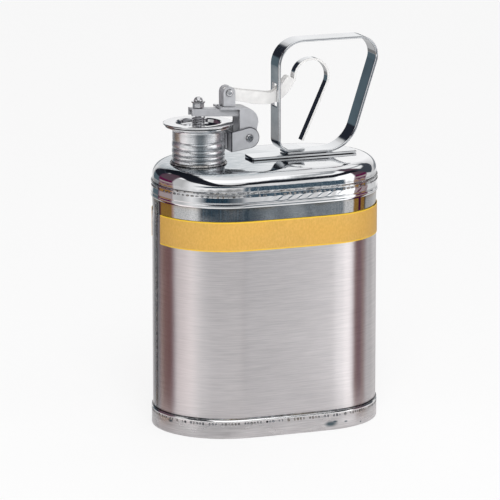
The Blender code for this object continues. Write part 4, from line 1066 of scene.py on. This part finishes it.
def band_shape(line):
    """Flat sheet along a line, three faces wide, with the trigger's slot left open."""
    shape = bmesh.new()
    columns = (-HANDLE_HALF, -SLOT_HALF, SLOT_HALF, HANDLE_HALF)
    rows = [[shape.verts.new((x, y, z)) for y in columns] for x, z in line]
    for (_, z), here, there in zip(line, rows, rows[1:]):
        for j in range(len(columns) - 1):
            if not (z == SLOT_LOW and j == 1):
                shape.faces.new((here[j], there[j], there[j + 1], here[j + 1]))
    return shape


loop = add_piece("handle_band", band_shape(loop_line()), BAND_STEEL, 50)
wall = loop.modifiers.new("sheet", "SOLIDIFY")
wall.thickness = HANDLE_BAND
wall.offset = 0
wall.use_even_offset = True
rounded(loop, 0.95 * MM, 5, 40)
dress(loop, "can", "handle_loop")
softened("deck_strap", "handle_strap", BAND_STEEL, 0.35 * MM, "can")


# Cap: a dished disc of polished sheet with a turned-down rim, over a flat seal. The dish
# stiffens it and takes the stud in its middle.
cap_low, cap_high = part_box("cap")
CAP_TOP = cap_high.z
CAP_RADIUS = (cap_high.x - cap_low.x) / 2
CAP_SHEET = 0.7 * MM
DISH_RADIUS = 18.4 * MM
DISH_Z = CAP_TOP - 4.3 * MM
HUB_RADIUS = 2.8 * MM
RIM_Z = CAP_TOP - 1.4 * MM
# The cap's hollows carry painted shade.
CAP_STEEL = new_finish("polished_cap", polished, 0.3 * MM, (0.78, 0.785, 0.80), (0.05, 0.12), grimy=True)
cap_section = [
    (HUB_RADIUS, DISH_Z), (DISH_RADIUS - 2.2 * MM, DISH_Z), (DISH_RADIUS - 0.8 * MM, DISH_Z + 0.9 * MM),
    (DISH_RADIUS, CAP_TOP - 0.9 * MM), (DISH_RADIUS + 0.9 * MM, CAP_TOP),
    (CAP_RADIUS - 0.8 * MM, CAP_TOP), (CAP_RADIUS, CAP_TOP - 0.5 * MM), (CAP_RADIUS, RIM_Z),
    (CAP_RADIUS - CAP_SHEET, RIM_Z), (CAP_RADIUS - CAP_SHEET, CAP_TOP - CAP_SHEET),
    (DISH_RADIUS + 1.1 * MM, CAP_TOP - CAP_SHEET), (DISH_RADIUS + 0.6 * MM, CAP_TOP - 1.3 * MM),
    (DISH_RADIUS - 0.2 * MM, DISH_Z + 0.1 * MM), (DISH_RADIUS - 1.8 * MM, DISH_Z - CAP_SHEET),
    (HUB_RADIUS, DISH_Z - CAP_SHEET),
]
cap_shape = turned(eased(cap_section, 0.45 * MM, 4), 128)
fit("cap_disc", cap_shape, CAP_STEEL, "cap", "cap", 60)


def black_seal(place):
    cloud = grain(place, (400, 400, 400))
    colour = ramp(cloud, [(0.3, (0.018, 0.018, 0.02)), (0.7, (0.04, 0.04, 0.042))])
    return colour, between(cloud, 0.3, 0.7, 0.55, 0.75), bumped(cloud, 0.03 * MM, 0.5)


SEAL_BORE = 19.4 * MM
seal_low, seal_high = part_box("cap_gasket")
seal_section = bar_section(SEAL_BORE, (seal_high.x - seal_low.x) / 2, seal_low.z, seal_high.z, 0.25 * MM)
SEAL_RUBBER = new_finish("seal_rubber", black_seal, metallic=0.0)
fit("cap_seal", turned(seal_section), SEAL_RUBBER, "cap_gasket", "cap")


# Stud: it holds the cap under the arm, with a small spring between them. Its domed head
# lies on a washer over a hexagon nut.
softened("dome_stud", "cap_stud", RIVET_STEEL, 0.2 * MM, "cap_lever")
softened("dome_washer", "stud_washer", RIVET_STEEL, 0.3 * MM, "cap_lever")
softened("hexagon_nut", "cap_nut", RIVET_STEEL, 0.3 * MM, "cap_lever")
SEAT_WIRE = 1.0 * MM
SEAT_RADIUS = 5.0 * MM
SEAT_TURNS = 4
SEAT_POINTS = 128
seat_low, seat_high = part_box("seat_spring")
seat_rise = (seat_high.z - seat_low.z) - SEAT_WIRE
seat_circle = arc((NECK_X, 0), SEAT_RADIUS, 0, math.tau * SEAT_TURNS, SEAT_POINTS)
seat_line = [
    (x, y, seat_low.z + SEAT_WIRE / 2 + seat_rise * i / SEAT_POINTS) for i, (x, y) in enumerate(seat_circle)
]
seat = steel_wire("seat_coil", seat_line, SEAT_WIRE, 10)
dress(seat, "cap_lever", "seat_spring")


# Cap arm and lever bracket: pressed channels of satin steel, riveted together. The wide
# bracket turns on the hinge rivet, and its plate carries the lug of the trigger.
softened("arm_channel", "cap_arm", SATIN, 0.7 * MM, "cap_lever")
softened("channel_rivet", "arm_rivet", RIVET_STEEL, 0.15 * MM, "cap_lever")
softened("bracket_cheeks", "lever_bracket", SATIN, 0.7 * MM, "cap_lever")
softened("trigger_lug", "lug", SATIN, 0.7 * MM, "cap_lever")
softened("lug_rivet", "lever_pin", RIVET_STEEL, 0.3 * MM, "cap_lever")


# Trigger: a channel pressed from bright sheet, drawn out to a flat strip that is bent to
# a finger hook inside the handle. The hook is polished on its faces and cut at its edges.
HOOK_START = 24.5 * MM
HOOK_FACE, HOOK_EDGE = 2, 3
trigger_steel = new_finish("bright_satin", satin, (0.93, 0.92, 0.905), 0.3, metallic=0.1)
trigger = softened("trigger_channel", "trigger_lever", trigger_steel, 0.7 * MM, "trigger")
trigger.data.materials.append(BAND_STEEL)
trigger.data.materials.append(new_finish("cut_edge", satin, (0.36, 0.37, 0.40), 0.3, metallic=0.4))
for face in trigger.data.polygons:
    if face.center.x > HOOK_START:
        face.material_index = HOOK_EDGE if abs(face.normal.y) > 0.9 else HOOK_FACE


# Studio: a white floor under a white backdrop, one large soft lamp, and a tent that only
# the steel mirrors. It has belts of cloth, a dark rim, two maroon doors and dark drapes low
# on its front, and near the can the pale table that it stands on.
FLOOR_HALF = 9.0
TABLE_RADIUS = 0.12
floor_shape = bmesh.new()
bmesh.ops.create_grid(floor_shape, x_segments=1, y_segments=1, size=FLOOR_HALF)
floor_paint = bpy.data.materials.new("floor_paint")
floor_paint.use_nodes = True
tree = floor_paint.node_tree
tree.nodes.remove(tree.nodes["Principled BSDF"])
place = node(tree, "ShaderNodeTexCoord").outputs["Object"]
matte = node(tree, "ShaderNodeBsdfDiffuse", {"Color": opaque(0.95)})
glow = node(tree, "ShaderNodeEmission", {"Color": opaque(1.0), "Strength": 1.0})
light_path = node(tree, "ShaderNodeLightPath").outputs
seen = times(light_path["Is Camera Ray"], 0.8)
paint = node(tree, "ShaderNodeMixShader", {0: seen, 1: matte.outputs[0], 2: glow.outputs[0]})
off_table = between(length_of(place), TABLE_RADIUS * 0.7, TABLE_RADIUS * 1.3)
beyond = times(light_path["Is Glossy Ray"], off_table)
clear = node(tree, "ShaderNodeBsdfTransparent")
open_floor = node(tree, "ShaderNodeMixShader", {0: beyond, 1: paint.outputs[0], 2: clear.outputs[0]})
tree.links.new(open_floor.outputs[0], tree.nodes["Material Output"].inputs["Surface"])
floor = add_piece("floor", floor_shape, floor_paint)

world = bpy.data.worlds.new("studio")
bpy.context.scene.world = world
world.use_nodes = True
tree = world.node_tree
outlook = node(tree, "ShaderNodeTexCoord").outputs["Generated"]
direction = node(tree, "ShaderNodeSeparateXYZ", {"Vector": outlook}).outputs
heading = calc("ARCTAN2", direction["X"], times(direction["Y"], -1.0))
azimuth = calc("DEGREES", heading)
elevation = calc("DEGREES", calc("ARCSINE", direction["Z"]))
around = calc("ADD", calc("DIVIDE", azimuth, 360.0), 0.5)


def by_azimuth(stops):
    """Colour or level for each azimuth in degrees: 0 is the can's front, positive is its right."""
    return ramp(around, [((angle + 180) / 360, colour) for angle, colour in stops])


def belt(bottom, top, soft):
    """1 between two elevations in degrees, 0 outside them."""
    low = between(elevation, bottom - soft, bottom + soft)
    high = between(elevation, top - soft, top + soft, 1.0, 0.0)
    return times(low, high)


def curved_bar(stops):
    """1 on a curved bar: each stop is an azimuth, the bar's elevation there and half its height."""
    soft = 2.0
    middle = by_azimuth([(angle, (height + 90) / 180) for angle, height, _ in stops])
    half = by_azimuth([(angle, size / 90) for angle, _, size in stops])
    height = calc("SUBTRACT", times(middle, 180.0), 90.0)
    away = calc("ABSOLUTE", calc("SUBTRACT", elevation, height))
    over = calc("SUBTRACT", away, times(half, 90.0))
    return between(over, -soft, soft, 1.0, 0.0)


NIGHT = (0.012, 0.014, 0.02)
TEAL = (0.012, 0.026, 0.040)
OCHRE = (0.32, 0.175, 0.04)
MAROON = (0.055, 0.0, 0.040)
CLARET = (0.12, 0.012, 0.06)
DUSK = (0.10, 0.14, 0.165)
SLATE = (0.10, 0.12, 0.14)
table_glow = by_azimuth([
    (-180, 0.5), (-145, 0.5), (-142, MAROON), (-112, MAROON), (-109, (1.25, 1.14, 1.13)),
    (-78, (1.15, 1.06, 1.05)), (-70, 0.85), (-52, 1.1), (-32, 0.95), (-12, 0.9), (8, 0.85), (14, 0.55),
    (20, 0.9), (27, 0.85), (34, 1.5), (64, 1.5), (67, MAROON), (94, MAROON), (97, 0.85), (130, 0.7),
    (180, 0.5),
])
low_belt = by_azimuth([
    (-180, 0.4), (-170, 0.24), (-153, 0.2), (-150, 0.05), (-147, MAROON), (-143, OCHRE), (-116, OCHRE),
    (-112, (0.5, 0.34, 0.30)), (-107, 0.6), (-80, 0.7), (-75, 0.85), (-60, 0.7), (-45, 0.36), (-10, 0.30),
    (5, 0.4), (14, 0.75), (26, 0.95), (34, 1.2), (38, 1.2), (42, 0.7), (63, 0.7), (66, OCHRE), (75, OCHRE),
    (77, MAROON), (81, MAROON), (83, OCHRE), (90, OCHRE), (93, 0.04), (96, 0.4), (130, 0.6), (180, 0.5),
])
middle_belt = by_azimuth([
    (-180, 0.8), (-174, 0.6), (-170, DUSK), (-149, DUSK), (-145, CLARET), (-112, CLARET), (-108, 0.6),
    (-90, 0.55), (-76, 0.9), (-60, 1.1), (-40, 1.1), (0, 0.9), (24, 0.85), (32, 1.5), (63, 1.5),
    (67, CLARET), (94, CLARET), (97, 0.8), (125, 0.75), (150, 1.1), (180, 0.9),
])
high_belt = by_azimuth([(-180, 0.97), (-112, 1.2), (-60, 1.4), (58, 1.3), (97, 1.1), (180, 0.97)])

# Cloths and where they hang: 1 across each, 0 beside it.
doors = by_azimuth([
    (-147, 0.0), (-143, 1.0), (-112, 1.0), (-108, 0.0), (63, 0.0), (67, 1.0), (94, 1.0), (97, 0.0),
])
back_left = by_azimuth([(-174, 0.0), (-171, 1.0), (-148, 1.0), (-145, 0.0)])
front_left = by_azimuth([(-66, 0.0), (-57, 1.0), (16, 1.0), (20, 0.0)])
front_right = by_azimuth([(8, 0.0), (16, 1.0), (42, 1.0), (48, 0.0)])
front_haze = by_azimuth([(-72, 0.0), (-48, 1.0), (-16, 1.0), (6, 0.75), (20, 0.0)])
far_wall = by_azimuth([(120, 0.0), (132, 0.8), (172, 0.8), (180, 0.0)])


def folds(scale, detail):
    """Uneven folds of a hanging cloth, so many to the degree."""
    values = {"W": azimuth, "Scale": scale, "Detail": detail}
    return node(azimuth.id_data, "ShaderNodeTexNoise", values, noise_dimensions="1D").outputs["Fac"]


wide_folds = folds(0.7, 3.0)
drape = ramp(wide_folds, [(0.45, TEAL), (0.75, (0.06, 0.13, 0.19))])
pale_drape = ramp(wide_folds, [(0.40, (0.18, 0.20, 0.22)), (0.62, (0.38, 0.41, 0.43))])
streaked = ramp(folds(6.0, 2.0), [
    (0.42, (0.008, 0.016, 0.026)), (0.54, (0.03, 0.08, 0.13)), (0.66, (0.36, 0.46, 0.52)),
])

# Tent from its plain cloth up: each layer is a belt's bottom, top and softness in degrees,
# its cloth, and the azimuths that it hangs at where it doesn't go all round.
sky = 0.97
for bottom, top, soft, cloth, hung in (
    (-100, -19, 1.0, table_glow, None),
    (-19, -10.9, 1.0, low_belt, None),
    (-10.9, 33, 1.0, middle_belt, None),
    (-8.6, -2.6, 1.0, (0.40, 0.33, 0.33), doors),
    (33, 60, 3.0, high_belt, None),
    (8, 60, 2.5, (0.11, 0.07, 0.09), doors),
    (5, 36, 1.5, (0.02, 0.024, 0.034), back_left),
    (-20.5, -14.6, 0.6, pale_drape, front_right),
    (-14.6, -5, 0.6, streaked, front_right),
    (-20.5, -14.2, 0.6, drape, front_left),
    (-6, 4, 1.5, drape, front_haze),
    (-8, 4, 1.0, SLATE, far_wall),
):
    cover = belt(bottom, top, soft)
    if hung:
        cover = times(cover, hung)
    sky = mixed(cover, sky, cloth)
tent_rim = curved_bar([
    (-180, 44, 8), (-165, 40, 18), (-150, 49, 14), (-128, 57, 12), (-100, 52, 14), (-79, 44, 18),
    (-57, 34, 16), (-40, 21, 14), (-29, 15, 10), (-20, 13, 8), (-10, 12, 7), (2, 13, 7), (14, 16, 8),
    (22, 24, 9), (38, 32, 9), (67, 36, 8), (84, 31, 8), (96, 15, 14), (111, 12, 18), (121, 22, 13),
    (130, 34, 4), (140, 44, 0), (170, 44, 0), (180, 44, 8),
])
rim_cloth = by_azimuth([(-180, NIGHT), (78, NIGHT), (90, (0.06, 0.07, 0.085))])
sky = mixed(tent_rim, sky, rim_cloth)
lamp_rim = curved_bar([
    (20, 30, 0), (24, 33, 3), (35, 49, 3), (65, 63, 3), (96, 50, 3), (123, 34, 3), (130, 30, 0),
])
sky = mixed(times(lamp_rim, 0.8), sky, SLATE)
seen = node(tree, "ShaderNodeLightPath").outputs["Is Camera Ray"]
tree.links.new(mixed(seen, sky, 1.0), tree.nodes["Background"].inputs["Color"])

lamp = bpy.data.lights.new("soft_lamp", "AREA")
lamp.shape = "DISK"
lamp.size = 1.2
lamp.energy = 31.5
lamp_object = bpy.data.objects.new("soft_lamp", lamp)
lamp_object.location = (-0.6, -1.95, 1.9)
lamp_aim = Vector((0, 0, 0.15)) - lamp_object.location
lamp_object.rotation_euler = lamp_aim.to_track_quat("-Z", "Y").to_euler()
lamp_object.visible_glossy = False
bpy.context.scene.collection.objects.link(lamp_object)

CAMERA_AZIMUTH = math.radians(-20.84)
CAMERA_ELEVATION = math.radians(12.60)
CAMERA_DISTANCE = 3.8
CAMERA_TARGET = Vector((-0.0129, 0, 0.1436))
camera = bpy.data.cameras.new("camera")
camera.sensor_width = 36
camera.lens = 330.9
camera.clip_end = 50
camera_object = bpy.data.objects.new("camera", camera)
back = Vector((
    math.sin(CAMERA_AZIMUTH) * math.cos(CAMERA_ELEVATION),
    -math.cos(CAMERA_AZIMUTH) * math.cos(CAMERA_ELEVATION),
    math.sin(CAMERA_ELEVATION),
))
camera_object.location = CAMERA_TARGET + back * CAMERA_DISTANCE
camera_object.rotation_euler = back.to_track_quat("Z", "Y").to_euler()
bpy.context.scene.collection.objects.link(camera_object)
bpy.context.scene.camera = camera_object
bpy.context.scene.view_settings.view_transform = "Standard"
